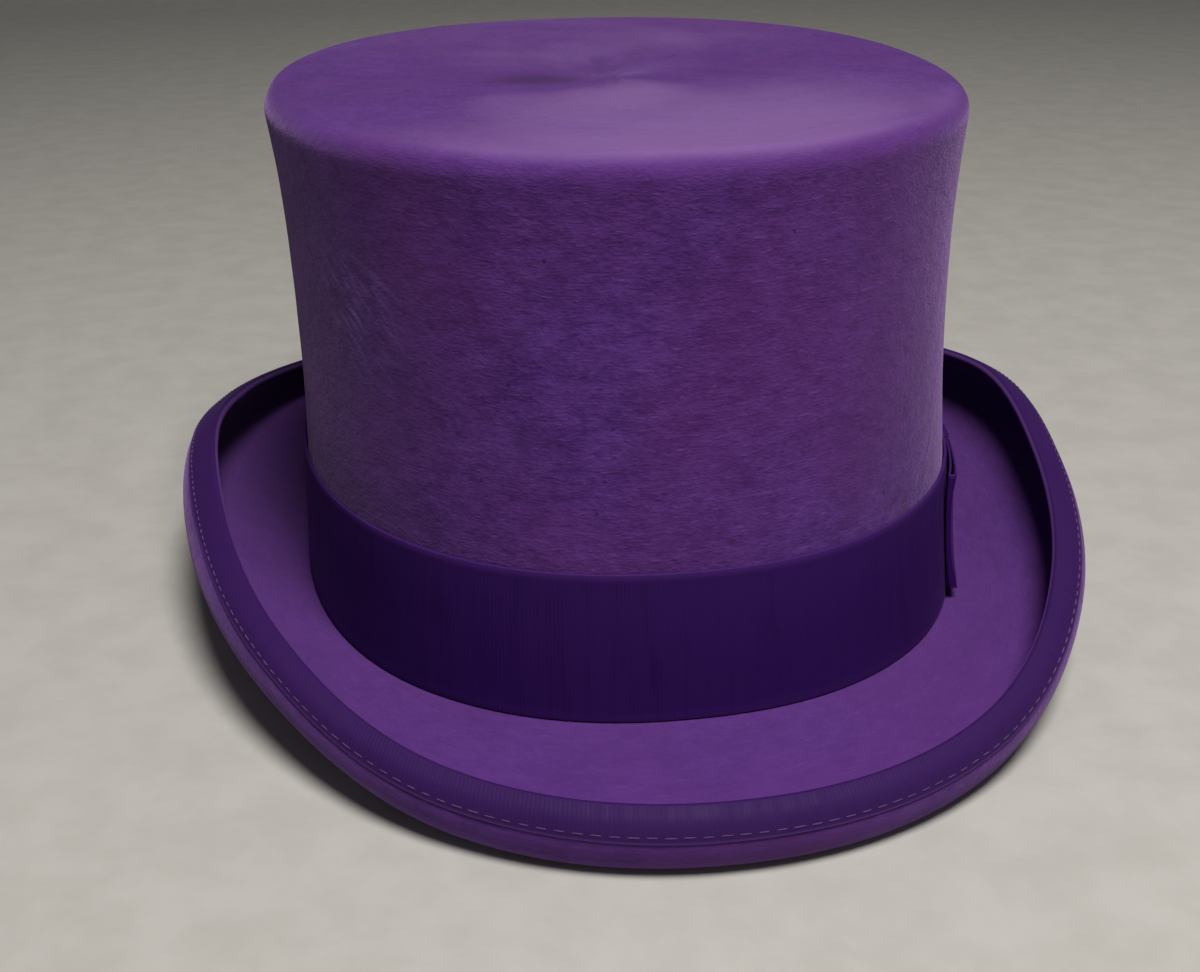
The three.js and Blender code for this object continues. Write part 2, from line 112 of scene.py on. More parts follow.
class Brim:
    """The brim's underside sections at the angles phi, and points offset from them."""

    def __init__(self, phi, steps=16):
        self.phi = phi
        folded = np.abs(phi - PI * np.round(phi / PI))
        place = folded / (PI / 8)
        i = np.minimum(np.floor(place), 3).astype(int)
        t = (place - i)[:, None, None]

        def row(k):
            k = np.abs(k)
            return SECTIONS[np.where(k <= 4, k, 8 - k)]

        knots = catmull(row(i - 1), row(i), row(i + 1), row(i + 2), t)
        every = np.concatenate([2 * knots[:, :1] - knots[:, 1:2], knots, 2 * knots[:, -1:] - knots[:, -2:-1]], 1)
        tt = (np.arange(steps) / steps)[None, :, None]
        bits = [catmull(every[:, j, None], every[:, j + 1, None], every[:, j + 2, None], every[:, j + 3, None], tt) for j in range(8)]
        self.line = np.concatenate([*bits, knots[:, -1:]], 1)
        step = np.linalg.norm(np.diff(self.line, axis=1), axis=2)
        self.run = np.concatenate([np.zeros((len(phi), 1)), np.cumsum(step, 1)], 1)
        self.width = self.run[:, -1]
        a, b = half_axes(CREASE_Z)
        rb = oval(a - 1.0, b - 1.0, EXPONENT, phi)
        rr = oval(106.4, 143.1, 2.19, phi)
        d = np.stack([np.sin(phi), -np.cos(phi)], -1)
        self.base = d * rb[:, None]
        self.out = d * (rr - rb)[:, None]
        self.out /= np.linalg.norm(self.out, axis=1, keepdims=True)
        grad = np.gradient(self.line, axis=1)
        self.tan = grad / np.linalg.norm(grad, axis=2, keepdims=True)

    def at(self, along, above):
        """(N, K, 3) for along (N, K) or (K,) and above likewise."""
        n = len(self.phi)
        along = np.asarray(along, float)
        above = np.asarray(above, float)
        k = max(along.shape[-1] if along.ndim else 1, above.shape[-1] if above.ndim else 1)
        along = np.broadcast_to(along, (n, k))
        above = np.broadcast_to(above, (n, k))
        rho = np.zeros((n, k))
        z = np.zeros((n, k))
        for i in range(n):
            s = np.clip(along[i], 0, self.width[i])
            x, y, tx, ty = (np.interp(s, self.run[i], c) for c in (self.line[i, :, 0], self.line[i, :, 1], self.tan[i, :, 0], self.tan[i, :, 1]))
            m = np.hypot(tx, ty)
            tx, ty = tx / m, ty / m
            over = along[i] - s
            rho[i] = x + tx * over - ty * above[i]
            z[i] = y + ty * over + tx * above[i]
        z = np.where(above > 0, z, np.maximum(z, 0))
        xy = self.base[:, None] + self.out[:, None] * rho[..., None]
        return np.concatenate([xy, z[..., None]], -1)

    def base_z(self):
        return self.line[:, 0, 1]

    def top_z(self, rho):
        """Height of the brim's top face at a distance out from the start of each section."""
        s = np.linspace(0, 20, 400)
        p = self.at(s, FELT_BRIM)
        r = np.einsum("nkj,nj->nk", p[..., :2] - self.base[:, None], self.out)
        return np.array([np.interp(rho, r[i], p[i, :, 2]) for i in range(len(self.phi))])


def waves(phi, s, amount, seed, turns=(1, 5), span=60.0, n=7):
    """Slow, repeatable unevenness over (phi, running length in mm), periodic in phi."""
    rng = np.random.default_rng(seed)
    made = 0
    for _ in range(n):
        k = rng.integers(turns[0], turns[1] + 1)
        f = rng.uniform(0.3, 1.0) * 2 * PI / span
        a, b = rng.uniform(0, 2 * PI, 2)
        made = made + np.sin(k * phi + a + np.sin(f * s + b)) * np.cos(f * s + b)
    return amount * made / n * 1.6


# ---------------------------------------------------------------- meshes
def new_mesh(name, points, faces, material, uv=None, attributes=None, smooth=True):
    """points in mm. uv is one pair per face corner, in face order."""
    me = bpy.data.meshes.new(name)
    me.from_pydata((np.asarray(points) * 0.001).tolist(), [], faces)
    me.polygons.foreach_set("use_smooth", [smooth] * len(me.polygons))
    if uv is not None:
        layer = me.uv_layers.new(name="lay")
        layer.data.foreach_set("uv", np.asarray(uv, np.float32).ravel())
    for key, value in (attributes or {}).items():
        value = np.asarray(value, np.float32)
        kind = "FLOAT" if value.ndim == 1 else "FLOAT_VECTOR"
        at = me.attributes.new(key, kind, "POINT")
        at.data.foreach_set("value" if kind == "FLOAT" else "vector", value.ravel())
    me.materials.append(material)
    me.update()
    me.validate()
    o = bpy.data.objects.new(name, me)
    bpy.context.scene.collection.objects.link(o)
    return o


def grid(P, wrap_u=True, wrap_v=True, cap=False, poles=(False, False)):
    """Faces and corner indices of a grid of points (N, K, 3). u is round the hat and v along the profile.
    With poles, the first or last column is one point. Returns points, faces, and for each corner its (u, v)."""
    n, k = P.shape[:2]
    index = np.arange(n * k).reshape(n, k)
    points = P.reshape(-1, 3)
    if poles[0]:
        index[:, 0] = 0
    if poles[1]:
        index[:, -1] = k - 1
    us = np.arange(n if wrap_u else n - 1)
    vs = np.arange(k if wrap_v else k - 1)
    faces, corner = [], []
    for u in us:
        u1 = (u + 1) % n
        for v in vs:
            v1 = (v + 1) % k
            q = [index[u, v], index[u1, v], index[u1, v1], index[u, v1]]
            c = [(u, v), (u + 1, v), (u + 1, v + 1), (u, v + 1)]
            if q[0] == q[1]:
                q, c = q[1:], [((u + .5), v), *c[2:]]
            elif q[2] == q[3]:
                q, c = q[:3], [*c[:2], ((u + .5), v + 1)]
            faces.append(tuple(int(i) for i in q))
            corner += c
    if cap and not wrap_u:
        faces.append(tuple(int(i) for i in index[0, :]))
        corner += [(0, v) for v in range(k)]
        faces.append(tuple(int(i) for i in index[-1, ::-1]))
        corner += [(n - 1, v) for v in range(k)][::-1]
    used = sorted({i for f in faces for i in f})
    if len(used) < len(points):
        move = {old: new for new, old in enumerate(used)}
        faces = [tuple(move[i] for i in f) for f in faces]
        points = points[used]
    return points, faces, np.array(corner, float), used


def grid_object(name, P, material, u_of=None, v_of=None, extra=None, attributes=None, **how):
    """A grid as one piece. u_of and v_of turn grid places into texture coordinates; v_of may be (K,) lengths."""
    points, faces, corner, used = grid(P, **how)
    n, k = P.shape[:2]
    u = corner[:, 0] if u_of is None else np.interp(corner[:, 0], np.arange(len(u_of)), u_of)
    vv = corner[:, 1] if v_of is None else np.interp(corner[:, 1], np.arange(len(v_of)), v_of)
    at = {key: np.asarray(val).reshape(n * k, -1).squeeze()[used] for key, val in (attributes or {}).items()}
    if extra:
        more_points, more_faces, more_uv = extra
        faces = faces + [tuple(i + len(points) for i in f) for f in more_faces]
        points = np.concatenate([points, more_points])
        uv = np.concatenate([np.stack([u, vv], -1), more_uv])
    else:
        uv = np.stack([u, vv], -1)
    return new_mesh(name, points, faces, material, uv, at)


def face_out(o):
    """Turns a closed mesh's faces outwards."""
    import bmesh

    bm = bmesh.new()
    bm.from_mesh(o.data)
    bmesh.ops.recalc_face_normals(bm, faces=bm.faces)
    if bm.calc_volume(signed=True) < 0:
        bmesh.ops.reverse_faces(bm, faces=bm.faces)
    bm.to_mesh(o.data)
    bm.free()
    return o


def running(P):
    """Mean running length (K + 1,) along the closed profile of a grid."""
    d = np.linalg.norm(np.diff(np.concatenate([P, P[:, :1]], 1), axis=1), axis=2).mean(0)
    return np.concatenate([[0], np.cumsum(d)])


# ---------------------------------------------------------------- materials
class Shade:
    """A node material. Every call returns an output socket; lengths are in metres in object space."""

    def __init__(self, name):
        self.m = bpy.data.materials.new(name)
        self.m.use_nodes = True
        self.nt = self.m.node_tree
        self.nt.nodes.clear()
        self.out = self.nt.nodes.new("ShaderNodeOutputMaterial")
        self.bsdf = self.nt.nodes.new("ShaderNodeBsdfPrincipled")
        self.nt.links.new(self.bsdf.outputs[0], self.out.inputs[0])
        self.place = self.nt.nodes.new("ShaderNodeTexCoord")

    def put(self, node, key, value):
        s = node.inputs[key]
        if isinstance(value, bpy.types.NodeSocket):
            self.nt.links.new(value, s)
        elif value is not None:
            s.default_value = value

    def new(self, kind, out=0, sets=None, **inputs):
        node = self.nt.nodes.new("ShaderNode" + kind)
        for key, value in (sets or {}).items():
            setattr(node, key, value)
        for key, value in inputs.items():
            self.put(node, key.replace("_", " "), value)
        return node.outputs[out]

    def obj(self):
        return self.place.outputs["Object"]

    def uv(self):
        return self.place.outputs["UV"]

    def attr(self, name, out="Fac"):
        node = self.nt.nodes.new("ShaderNodeAttribute")
        node.attribute_name = name
        return node.outputs[out]

    def scaled(self, vector, x, y, z):
        node = self.nt.nodes.new("ShaderNodeVectorMath")
        node.operation = "MULTIPLY"
        self.nt.links.new(vector, node.inputs[0])
        node.inputs[1].default_value = (x, y, z)
        return node.outputs[0]

    def noise(self, vector, scale, detail=3.0, rough=0.55, distort=0.0):
        return self.new("TexNoise", Vector=vector, Scale=scale, Detail=detail, Roughness=rough, Distortion=distort)

    def cells(self, vector, scale, feature="F1", random=1.0):
        return self.new("TexVoronoi", sets={"feature": feature}, Vector=vector, Scale=scale, Randomness=random)

    def math(self, op, a, b=None, c=None, clamp=False):
        node = self.nt.nodes.new("ShaderNodeMath")
        node.operation = op
        node.use_clamp = clamp
        for i, v in enumerate((a, b, c)):
            if v is not None:
                self.put(node, i, v)
        return node.outputs[0]

    def span(self, value, lo, hi, to_lo=0.0, to_hi=1.0):
        node = self.nt.nodes.new("ShaderNodeMapRange")
        node.interpolation_type = "SMOOTHSTEP"
        for key, v in (("Value", value), ("From Min", lo), ("From Max", hi), ("To Min", to_lo), ("To Max", to_hi)):
            self.put(node, key, v)
        return node.outputs[0]

    def split(self, vector):
        node = self.nt.nodes.new("ShaderNodeSeparateXYZ")
        self.nt.links.new(vector, node.inputs[0])
        return node.outputs

    def join(self, x, y, z):
        node = self.nt.nodes.new("ShaderNodeCombineXYZ")
        for i, v in enumerate((x, y, z)):
            self.put(node, i, v)
        return node.outputs[0]

    def mix(self, share, a, b, kind="MIX"):
        node = self.nt.nodes.new("ShaderNodeMix")
        node.data_type = "RGBA"
        node.blend_type = kind
        node.clamp_factor = True
        fac = node.inputs["Factor"] if "Factor" in node.inputs else node.inputs[0]
        self.put(node, 0, share)
        for i, v in ((6, a), (7, b)):
            if isinstance(v, tuple):
                v = (*v[:3], 1.0)
            self.put(node, i, v)
        return node.outputs[2]

    def bump(self, height, distance, strength=1.0, normal=None):
        node = self.nt.nodes.new("ShaderNodeBump")
        node.inputs["Strength"].default_value = strength
        node.inputs["Distance"].default_value = distance
        self.nt.links.new(height, node.inputs["Height"])
        if normal is not None:
            self.nt.links.new(normal, node.inputs["Normal"])
        return node.outputs[0]

    def done(self, colour, normal=None, roughness=None, **sockets):
        self.put(self.bsdf, "Base Color", colour)
        if normal is not None:
            self.put(self.bsdf, "Normal", normal)
        if roughness is not None:
            self.put(self.bsdf, "Roughness", roughness)
        for key, value in sockets.items():
            self.put(self.bsdf, key.replace("_", " "), value)
        return self.m


def felt_material():
    """Brushed fur felt: dense nap lying round the hat, mottled plum and blue-violet, with dark flecks and pale fibre tips."""
    s = Shade("felt_nap")
    nap = s.attr("nap", "Vector")
    tone = s.attr("tone")
    px, py, rub = s.split(s.attr("swipe", "Vector"))
    calm = s.attr("calm")
    fine = s.noise(s.scaled(nap, 0.55, 0.55, 1.0), 1500.0, 3.0, 0.7)
    fibre = s.noise(s.scaled(nap, 0.14, 0.14, 1.0), 2100.0, 2.0, 0.6, 0.4)
    cloud = s.noise(s.scaled(nap, 0.6, 0.6, 1.0), 330.0, 4.0, 0.65)
    patch = s.noise(nap, 62.0, 4.0, 0.55)
    fleck = s.noise(s.scaled(nap, 0.42, 0.42, 1.0), 640.0, 2.0, 0.55)
    knot = s.noise(nap, 380.0, 1.0, 0.5)
    warm = s.noise(nap, 17.0, 2.0, 0.5)
    comb = s.noise(s.join(s.math("MULTIPLY", px, 0.16), py, 0.0), 620.0, 3.0, 0.6, 0.5)
    light = s.math("ADD", s.math("MULTIPLY", fine, 0.34), s.math("MULTIPLY", cloud, 0.38))
    light = s.math("ADD", light, s.math("MULTIPLY", patch, 0.28))
    base = s.mix(s.span(light, 0.30, 0.70), FELT_DARK, FELT_LIGHT)
    base = s.mix(s.span(warm, 0.42, 0.66, 0.0, 0.42), base, FELT_WARM, "MIX")
    base = s.mix(s.span(fibre, 0.58, 0.76, 0.0, 0.20), base, FELT_TIPS)
    base = s.mix(s.span(fleck, 0.61, 0.74, 0.0, 0.34), base, FELT_FLECK)
    base = s.mix(s.span(knot, 0.76, 0.80, 0.0, 0.65), base, FELT_FLECK)
    base = s.mix(s.math("MULTIPLY", calm, 0.62), base, FELT_MEAN)
    base = s.mix(s.math("MULTIPLY", rub, s.span(comb, 0.48, 0.66, 0.0, 0.7)), base, FELT_RUB)
    base = s.mix(s.math("MULTIPLY", rub, s.span(comb, 0.48, 0.34, 0.0, 0.55)), base, FELT_FLECK)
    # The tone attribute lightens and darkens the felt: random tone of the brushed nap, plus painted sheen on the tip
    # and painted shade on the crown's sides and above the band.
    base = s.mix(s.span(tone, 0.0, 1.0, 0.0, 0.65), base, FELT_BRIGHT_NAP_AND_SHEEN)
    base = s.mix(s.span(tone, 0.0, -1.0, 0.0, 0.75), base, FELT_SHADE)
    height = s.math("ADD", s.math("MULTIPLY", fine, 0.6), s.math("MULTIPLY", fibre, 0.4))
    height = s.math("ADD", height, s.math("MULTIPLY", rub, s.math("MULTIPLY", comb, 0.8)))
    n1 = s.bump(cloud, 0.0011, 0.42)
    n2 = s.bump(height, 0.00045, 0.62, n1)
    rough = s.span(fine, 0.3, 0.7, 0.82, 1.0)
    return s.done(
        base, n2, rough,
        Specular_IOR_Level=0.06,
        Sheen_Weight=0.30, Sheen_Roughness=0.42, Sheen_Tint=(0.66, 0.44, 0.86, 1.0),
    )


def ribbon_material(name, dark, light, ribs=0.00085, sheen=0.12, gloss=0.58, edge=None, dust=0.0):
    """Grosgrain: ribs across the strip, made in u (metres along the strip), a woven selvage near the edges in v."""
    s = Shade(name)
    u, v, _ = s.split(s.uv())
    rib = s.math("SINE", s.math("MULTIPLY", u, 2 * PI / ribs))
    rib = s.span(rib, -1.0, 1.0)
    pos = s.obj()
    pick = s.noise(s.join(s.math("MULTIPLY", u, 0.25), v, 0.0), 2600.0, 2.0, 0.6)
    cloud = s.noise(pos, 55.0, 3.0, 0.55)
    streak = s.noise(s.join(u, s.math("MULTIPLY", v, 0.06), 0.0), 420.0, 3.0, 0.6)
    mixv = s.math("ADD", s.math("MULTIPLY", rib, 0.08), s.math("MULTIPLY", streak, 0.42))
    mixv = s.math("ADD", mixv, s.math("MULTIPLY", cloud, 0.36))
    base = s.mix(s.span(mixv, 0.12, 0.44), dark, light)
    base = s.mix(s.span(pick, 0.60, 0.8, 0.0, 0.22), base, tuple(min(1.0, c * 2.2 + 0.004) for c in light))
    lint = s.cells(pos, 420.0)
    base = s.mix(s.span(lint, 0.045, 0.02, 0.0, 0.32), base, (0.10, 0.07, 0.15))
    # A lighter edge colour where the rim attribute is high: a woven selvage on the band and bow; on the binding's fold
    # crest a pale picot edge plus painted highlight.
    if edge is not None:
        rim = s.attr("rim")
        base = s.mix(s.span(rim, 0.35, 1.0, 0.0, 0.75), base, edge)
    height = s.math("ADD", s.math("MULTIPLY", rib, 0.75), s.math("MULTIPLY", pick, 0.35))
    n = s.bump(cloud, 0.0012, 0.18)
    n = s.bump(height, 0.00010, 0.28, n)
    return s.done(
        base, n, s.span(streak, 0.3, 0.7, gloss, gloss + 0.16),
        Specular_IOR_Level=0.12,
        Sheen_Weight=sheen, Sheen_Roughness=0.35, Sheen_Tint=(0.45, 0.16, 0.85, 1.0),
    )


def thread_material(name, dark, light):
    s = Shade(name)
    u, v, _ = s.split(s.uv())
    ply = s.math("SINE", s.math("ADD", s.math("MULTIPLY", u, 2 * PI / 0.00055), s.math("MULTIPLY", v, 2 * PI * 2)))
    ply = s.span(ply, -1.0, 1.0)
    fuzz = s.noise(s.obj(), 2400.0, 2.0, 0.6)
    patch = s.noise(s.obj(), 60.0, 2.0, 0.5)
    base = s.mix(s.span(s.math("ADD", s.math("MULTIPLY", ply, 0.4), s.math("MULTIPLY", patch, 0.7)), 0.25, 0.85), dark, light)
    n = s.bump(s.math("ADD", ply, s.math("MULTIPLY", fuzz, 0.5)), 0.00012, 0.6)
    return s.done(base, n, s.span(fuzz, 0.3, 0.7, 0.5, 0.75), Specular_IOR_Level=0.35, Sheen_Weight=0.25, Sheen_Roughness=0.4)


def leather_material():
    """Thin dyed sheepskin with a fine pebble, handling shine and a darker sweat line low down."""
    s = Shade("sweatband_leather")
    pos = s.obj()
    pebble = s.cells(pos, 1500.0)
    crease = s.noise(pos, 240.0, 5.0, 0.6, 0.6)
    wear = s.noise(pos, 32.0, 3.0, 0.5)
    _, _, z = s.split(pos)
    base = s.mix(s.span(wear, 0.35, 0.7), (0.020, 0.011, 0.008), (0.060, 0.034, 0.024))
    base = s.mix(s.span(crease, 0.58, 0.74, 0.0, 0.6), base, (0.010, 0.006, 0.005))
    base = s.mix(s.span(z, 0.040, 0.044, 0.0, 0.45), base, (0.110, 0.068, 0.046))
    h = s.math("ADD", s.math("MULTIPLY", pebble, -0.8), s.math("MULTIPLY", crease, 0.7))
    n = s.bump(h, 0.00025, 0.6)
    return s.done(base, n, s.span(wear, 0.3, 0.7, 0.34, 0.56), Specular_IOR_Level=0.45)


def satin_material(name, dark, light, sheen=0.35):
    """Satin: fine warp streaks round the hat, broad glints on the folds."""
    s = Shade(name)
    pos = s.obj()
    warp = s.noise(s.scaled(pos, 0.35, 0.35, 3.0), 1300.0, 2.0, 0.6)
    weft = s.noise(s.scaled(pos, 2.2, 2.2, 0.3), 900.0, 2.0, 0.6)
    cloud = s.noise(pos, 40.0, 3.0, 0.5)
    base = s.mix(s.span(s.math("ADD", s.math("MULTIPLY", warp, 0.5), s.math("MULTIPLY", cloud, 0.5)), 0.35, 0.65), dark, light)
    n = s.bump(s.math("ADD", warp, s.math("MULTIPLY", weft, 0.6)), 0.00010, 0.45)
    return s.done(base, n, s.span(weft, 0.3, 0.7, 0.24, 0.38), Specular_IOR_Level=0.6, Sheen_Weight=sheen, Sheen_Roughness=0.3, Anisotropic=0.5)


def tape_material(name, dark, light, pitch=0.0009):
    """Plain woven cotton tape: over-and-under checks with slubs."""
    s = Shade(name)
    u, v, _ = s.split(s.uv())
    a = s.math("SINE", s.math("MULTIPLY", u, 2 * PI / pitch))
    b = s.math("SINE", s.math("MULTIPLY", v, 2 * PI / pitch))
    weave = s.span(s.math("MULTIPLY", a, b), -1.0, 1.0)
    slub = s.noise(s.obj(), 500.0, 3.0, 0.6)
    base = s.mix(s.math("ADD", s.math("MULTIPLY", weave, 0.6), s.math("MULTIPLY", slub, 0.4)), dark, light)
    n = s.bump(weave, 0.00018, 0.6)
    return s.done(base, n, s.span(slub, 0.3, 0.7, 0.75, 0.95), Specular_IOR_Level=0.2, Sheen_Weight=0.2)


def plastic_material(name, dark, light):
    s = Shade(name)
    mark = s.noise(s.scaled(s.obj(), 0.3, 0.3, 3.0), 700.0, 3.0, 0.6)
    base = s.mix(s.span(mark, 0.3, 0.7), dark, light)
    return s.done(base, s.bump(mark, 0.00006, 0.4), s.span(mark, 0.3, 0.7, 0.32, 0.5))


def film_material():
    """Clear stiff film with handling scuffs."""
    s = Shade("clear_film")
    scuff = s.noise(s.scaled(s.obj(), 1.0, 6.0, 1.0), 160.0, 5.0, 0.65, 1.2)
    blotch = s.noise(s.obj(), 30.0, 2.0, 0.5)
    base = s.mix(s.span(blotch, 0.3, 0.7), (0.86, 0.88, 0.92), (0.96, 0.97, 0.99))
    return s.done(base, s.bump(scuff, 0.00004, 0.3), s.span(scuff, 0.45, 0.75, 0.05, 0.26), Transmission_Weight=0.92, IOR=1.45)


# linear colours
FELT_DARK = (0.041, 0.0105, 0.095)
FELT_LIGHT = (0.112, 0.038, 0.226)
FELT_TIPS = (0.25, 0.12, 0.40)
FELT_FLECK = (0.020, 0.006, 0.050)
FELT_WARM = (0.092, 0.020, 0.128)
FELT_RUB = (0.24, 0.15, 0.46)
# Lighter felt for random nap tone, and painted sheen on the tip, greyed like fuzz catching grazing light.
FELT_BRIGHT_NAP_AND_SHEEN = (0.220, 0.118, 0.300)
FELT_MEAN = (0.088, 0.028, 0.172)
# Darker felt for random nap tone, and painted shade on the crown's sides, above the band and in the tip's dark streaks.
FELT_SHADE = (0.040, 0.015, 0.066)

felt = felt_material()
band_cloth = ribbon_material("band_grosgrain", (0.012, 0.0014, 0.042), (0.025, 0.0040, 0.080), sheen=0.04, edge=(0.045, 0.010, 0.11))
bow_cloth = ribbon_material("bow_grosgrain", (0.012, 0.0010, 0.044), (0.028, 0.0032, 0.088), sheen=0.05, edge=(0.05, 0.012, 0.12))
# The binding's edge colour lightens its fold crest: partly a pale picot edge, partly painted highlight where the crest
# catches light from above.
bind_cloth = ribbon_material("binding_grosgrain", (0.020, 0.0038, 0.054), (0.030, 0.0070, 0.076), ribs=0.0008, sheen=0.16, edge=(0.12, 0.05, 0.22))
stitch_thread = thread_material("binding_thread", (0.042, 0.014, 0.080), (0.13, 0.055, 0.165))
dark_thread = thread_material("sweatband_thread", (0.04, 0.024, 0.018), (0.11, 0.07, 0.05))
leather = leather_material()
lining_cloth = satin_material("lining_satin", (0.010, 0.005, 0.018), (0.034, 0.018, 0.055))
bow_satin = satin_material("trim_satin", (0.016, 0.005, 0.045), (0.050, 0.018, 0.11))
cotton = tape_material("cotton_tape", (0.008, 0.006, 0.012), (0.030, 0.023, 0.040))
label_cloth = tape_material("label_weave", (0.60, 0.56, 0.48), (0.80, 0.77, 0.70), 0.0005)
reed_plastic = plastic_material("reed_plastic", (0.52, 0.49, 0.42), (0.70, 0.67, 0.60))
film = film_material()

# ---------------------------------------------------------------- felt body
N = 480
phi = np.arange(N) * 2 * PI / N
brim = Brim(phi)


def tip_z(level, share):
    """Height of a face under or over the sunken tip."""
    return level - TIP_DIP * (1 - np.clip(share, 0, 1) ** 2) ** 1.5


def brim_thick(along, width):
    """The felt thins towards the bound edge."""
    t = np.clip((along - (width - 9.0)) / 8.0, 0, 1)
    return FELT_BRIM - 0.45 * t * t * (3 - 2 * t)


def arc(n):
    return np.linspace(0, PI / 2, n)


def build_felt():
    w = (brim.width - 0.9)[:, None]
    blocks, region = [], []

    def add(p, name):
        blocks.append(p)
        region.extend([name] * p.shape[1])

    r_in = TIP_EDGE - FELT_CROWN
    share = np.linspace(0, 1, 26)[:-1]
    add(crown(phi, tip_z(TIP_INNER, share), INNER + r_in, share), "in_tip")
    a = arc(6)[::-1]
    add(crown(phi, TIP_INNER - r_in + r_in * np.sin(a), INNER + r_in - r_in * np.cos(a)), "in_edge")
    add(crown(phi, np.linspace(121, 14, 24), INNER), "in_wall")
    zb = brim.base_z()[:, None]
    add(crown(phi, np.concatenate([zb + 3.6, zb + 2.4, zb + 1.2, zb + 0.6, zb + 0.2], 1), np.array([INNER, INNER - 0.1, INNER - 0.3, INNER - 0.7, INNER - 1.2])), "crease")
    f = np.linspace(0.03, 1, 64)[None]
    lip = 0.35
    add(brim.at(f * (w - lip), 0.0), "under")
    t = np.linspace(0, PI, 9)[1:-1][None]
    tip_thick = brim_thick(w, brim.width[:, None])
    add(brim.at(w - lip + lip * np.sin(t), tip_thick / 2 - tip_thick / 2 * np.cos(t)), "rim")
    back = (f * (w - lip))[:, ::-1]
    add(brim.at(back, brim_thick(back, brim.width[:, None])), "top")
    zt = brim.top_z(0.4)[:, None]
    add(crown(phi, zt + np.array([0.1, 0.5, 1.2]), FELT_INSET), "foot")
    c = TIP_Z - TIP_EDGE
    add(crown(phi, np.linspace(12, c - 1.2, 70), FELT_INSET), "wall")
    a = arc(12)
    add(crown(phi, c + TIP_EDGE * np.sin(a), FELT_INSET + TIP_EDGE * (1 - np.cos(a))), "edge")
    share = np.linspace(1, 0, 46)[1:]
    add(crown(phi, tip_z(TIP_Z, share), FELT_INSET + TIP_EDGE, share), "tip")
    P = np.concatenate(blocks, 1)
    region = np.array(region)
    n, k = P.shape[:2]
    along = np.concatenate([[0], np.cumsum(np.linalg.norm(np.diff(P, axis=1), axis=2).mean(0))])
    A, S = np.meshgrid(phi, along, indexing="ij")
    ph = A

    # hand-blocked unevenness, kept off the layers that lie against other pieces
    out = np.stack([np.sin(ph), -np.cos(ph), 0 * ph], -1)
    free = np.isin(region, ["wall", "edge"]).astype(float)
    z = P[..., 2]
    lift = np.clip((z - 44) / 16, 0, 1) * free
    dent = waves(ph, z, 0.42, 3, (2, 6), 95) + waves(ph, z, 0.10, 8, (7, 17), 30)
    P = P + out * (dent * lift)[..., None]
    on_tip = (region == "tip")
    share_all = np.zeros(k)
    share_all[on_tip] = share
    rip = waves(ph, S, 0.30, 5, (1, 4), 70) * (on_tip * np.sin(PI * share_all) ** 1)
    P[..., 2] += np.minimum(rip, 0.0)

    # the lay of the nap: a vector that runs round the hat and along the profile
    nap = np.stack([np.sin(ph) * 0.098, -np.cos(ph) * 0.098, S * 0.001], -1)
    # broad light and dark of brushed nap
    tone = 0.14 * waves(ph, S, 1.0, 11, (1, 7), 55) + 0.10 * waves(ph, S, 1.0, 12, (5, 19), 22)
    x, y = P[..., 0], P[..., 1]
    tip_mask = (region == "tip").astype(float)
    tip_mask[region == "edge"] = np.sin(arc(12)) ** 3
    cx, cy = 0.5, -4.7
    dx, dy = x - cx, y - cy
    rr = np.hypot(dx, dy) + 1e-6
    ang = np.degrees(np.arctan2(dx, -dy))  # 0 towards the front, + towards +X

    def lobe(centre, width):
        d = (ang - centre + 180) % 360 - 180
        return np.exp(-((d / width) ** 2))

    # The tip's bright fan and dark streaks follow the lay of the brushed nap and are partly painted light: the 0.20
    # lifts the whole tip as painted sheen, the front lobe is partly painted highlight, the dark lobes partly painted
    # shade.
    grow = np.clip(rr / 22, 0, 1)
    fan = 0.20 + 0.66 * lobe(2, 52) * grow - 1.25 * lobe(-92, 24) * np.exp(-((rr - 19) / 14) ** 2)
    fan += -0.62 * lobe(-75, 34) * np.clip((rr - 30) / 40, 0, 1) - 0.25 * lobe(105, 30) * grow + 0.15 * lobe(170, 50) * grow
    swirl = 0.16 * np.sin(3 * np.radians(ang) + rr / 11.0) * np.exp(-rr / 55)
    tone = tone + tip_mask * (fan + swirl)
    # a patch on the front left where the nap is rubbed up the wrong way: its own lengthwise and crosswise places
    wall_mask = np.isin(region, ["wall"]).astype(float)
    pd = np.degrees(ph)
    pd = (pd + 180) % 360 - 180
    arc_mm, high = (pd + 47.0) * 1.62, z - 91.5
    rub = wall_mask * np.exp(-((arc_mm / 13) ** 2) - ((high / 11) ** 2))
    # Painted shade: the crown wall is darkened towards its left and right sides.
    tone = tone - wall_mask * (0.46 * np.clip((-pd - 12) / 40, 0, 1) * np.clip((pd + 130) / 40, 0, 1) + 0.40 * np.clip((pd - 18) / 40, 0, 1) * np.clip((130 - pd) / 40, 0, 1))
    swipe = np.stack([(0.80 * arc_mm - 0.60 * high) * 0.001, (0.60 * arc_mm + 0.80 * high) * 0.001, rub], -1)
    calm = np.isin(region, ["top", "rim"]) * 1.0 + (region == "under") * 0.5 + (region == "tip") * 0.55 + (region == "edge") * 0.8
    calm = calm[None] + 0 * z
    # Painted shade: a dark line on the crown wall just above the hatband's top edge.
    tone = tone - wall_mask * 0.12 * np.exp(-(((z - 44) / 5) ** 2))
    return P, nap, tone, along, swipe, calm


P, nap, tone, along, swipe, calm = build_felt()
felt_body = grid_object("felt_crown_and_brim", P, felt, v_of=along * 0.001, attributes={"nap": nap, "tone": tone, "swipe": swipe, "calm": calm}, wrap_v=False, poles=(True, True))
face_out(felt_body)
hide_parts("felt_body")
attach(felt_body, "root")


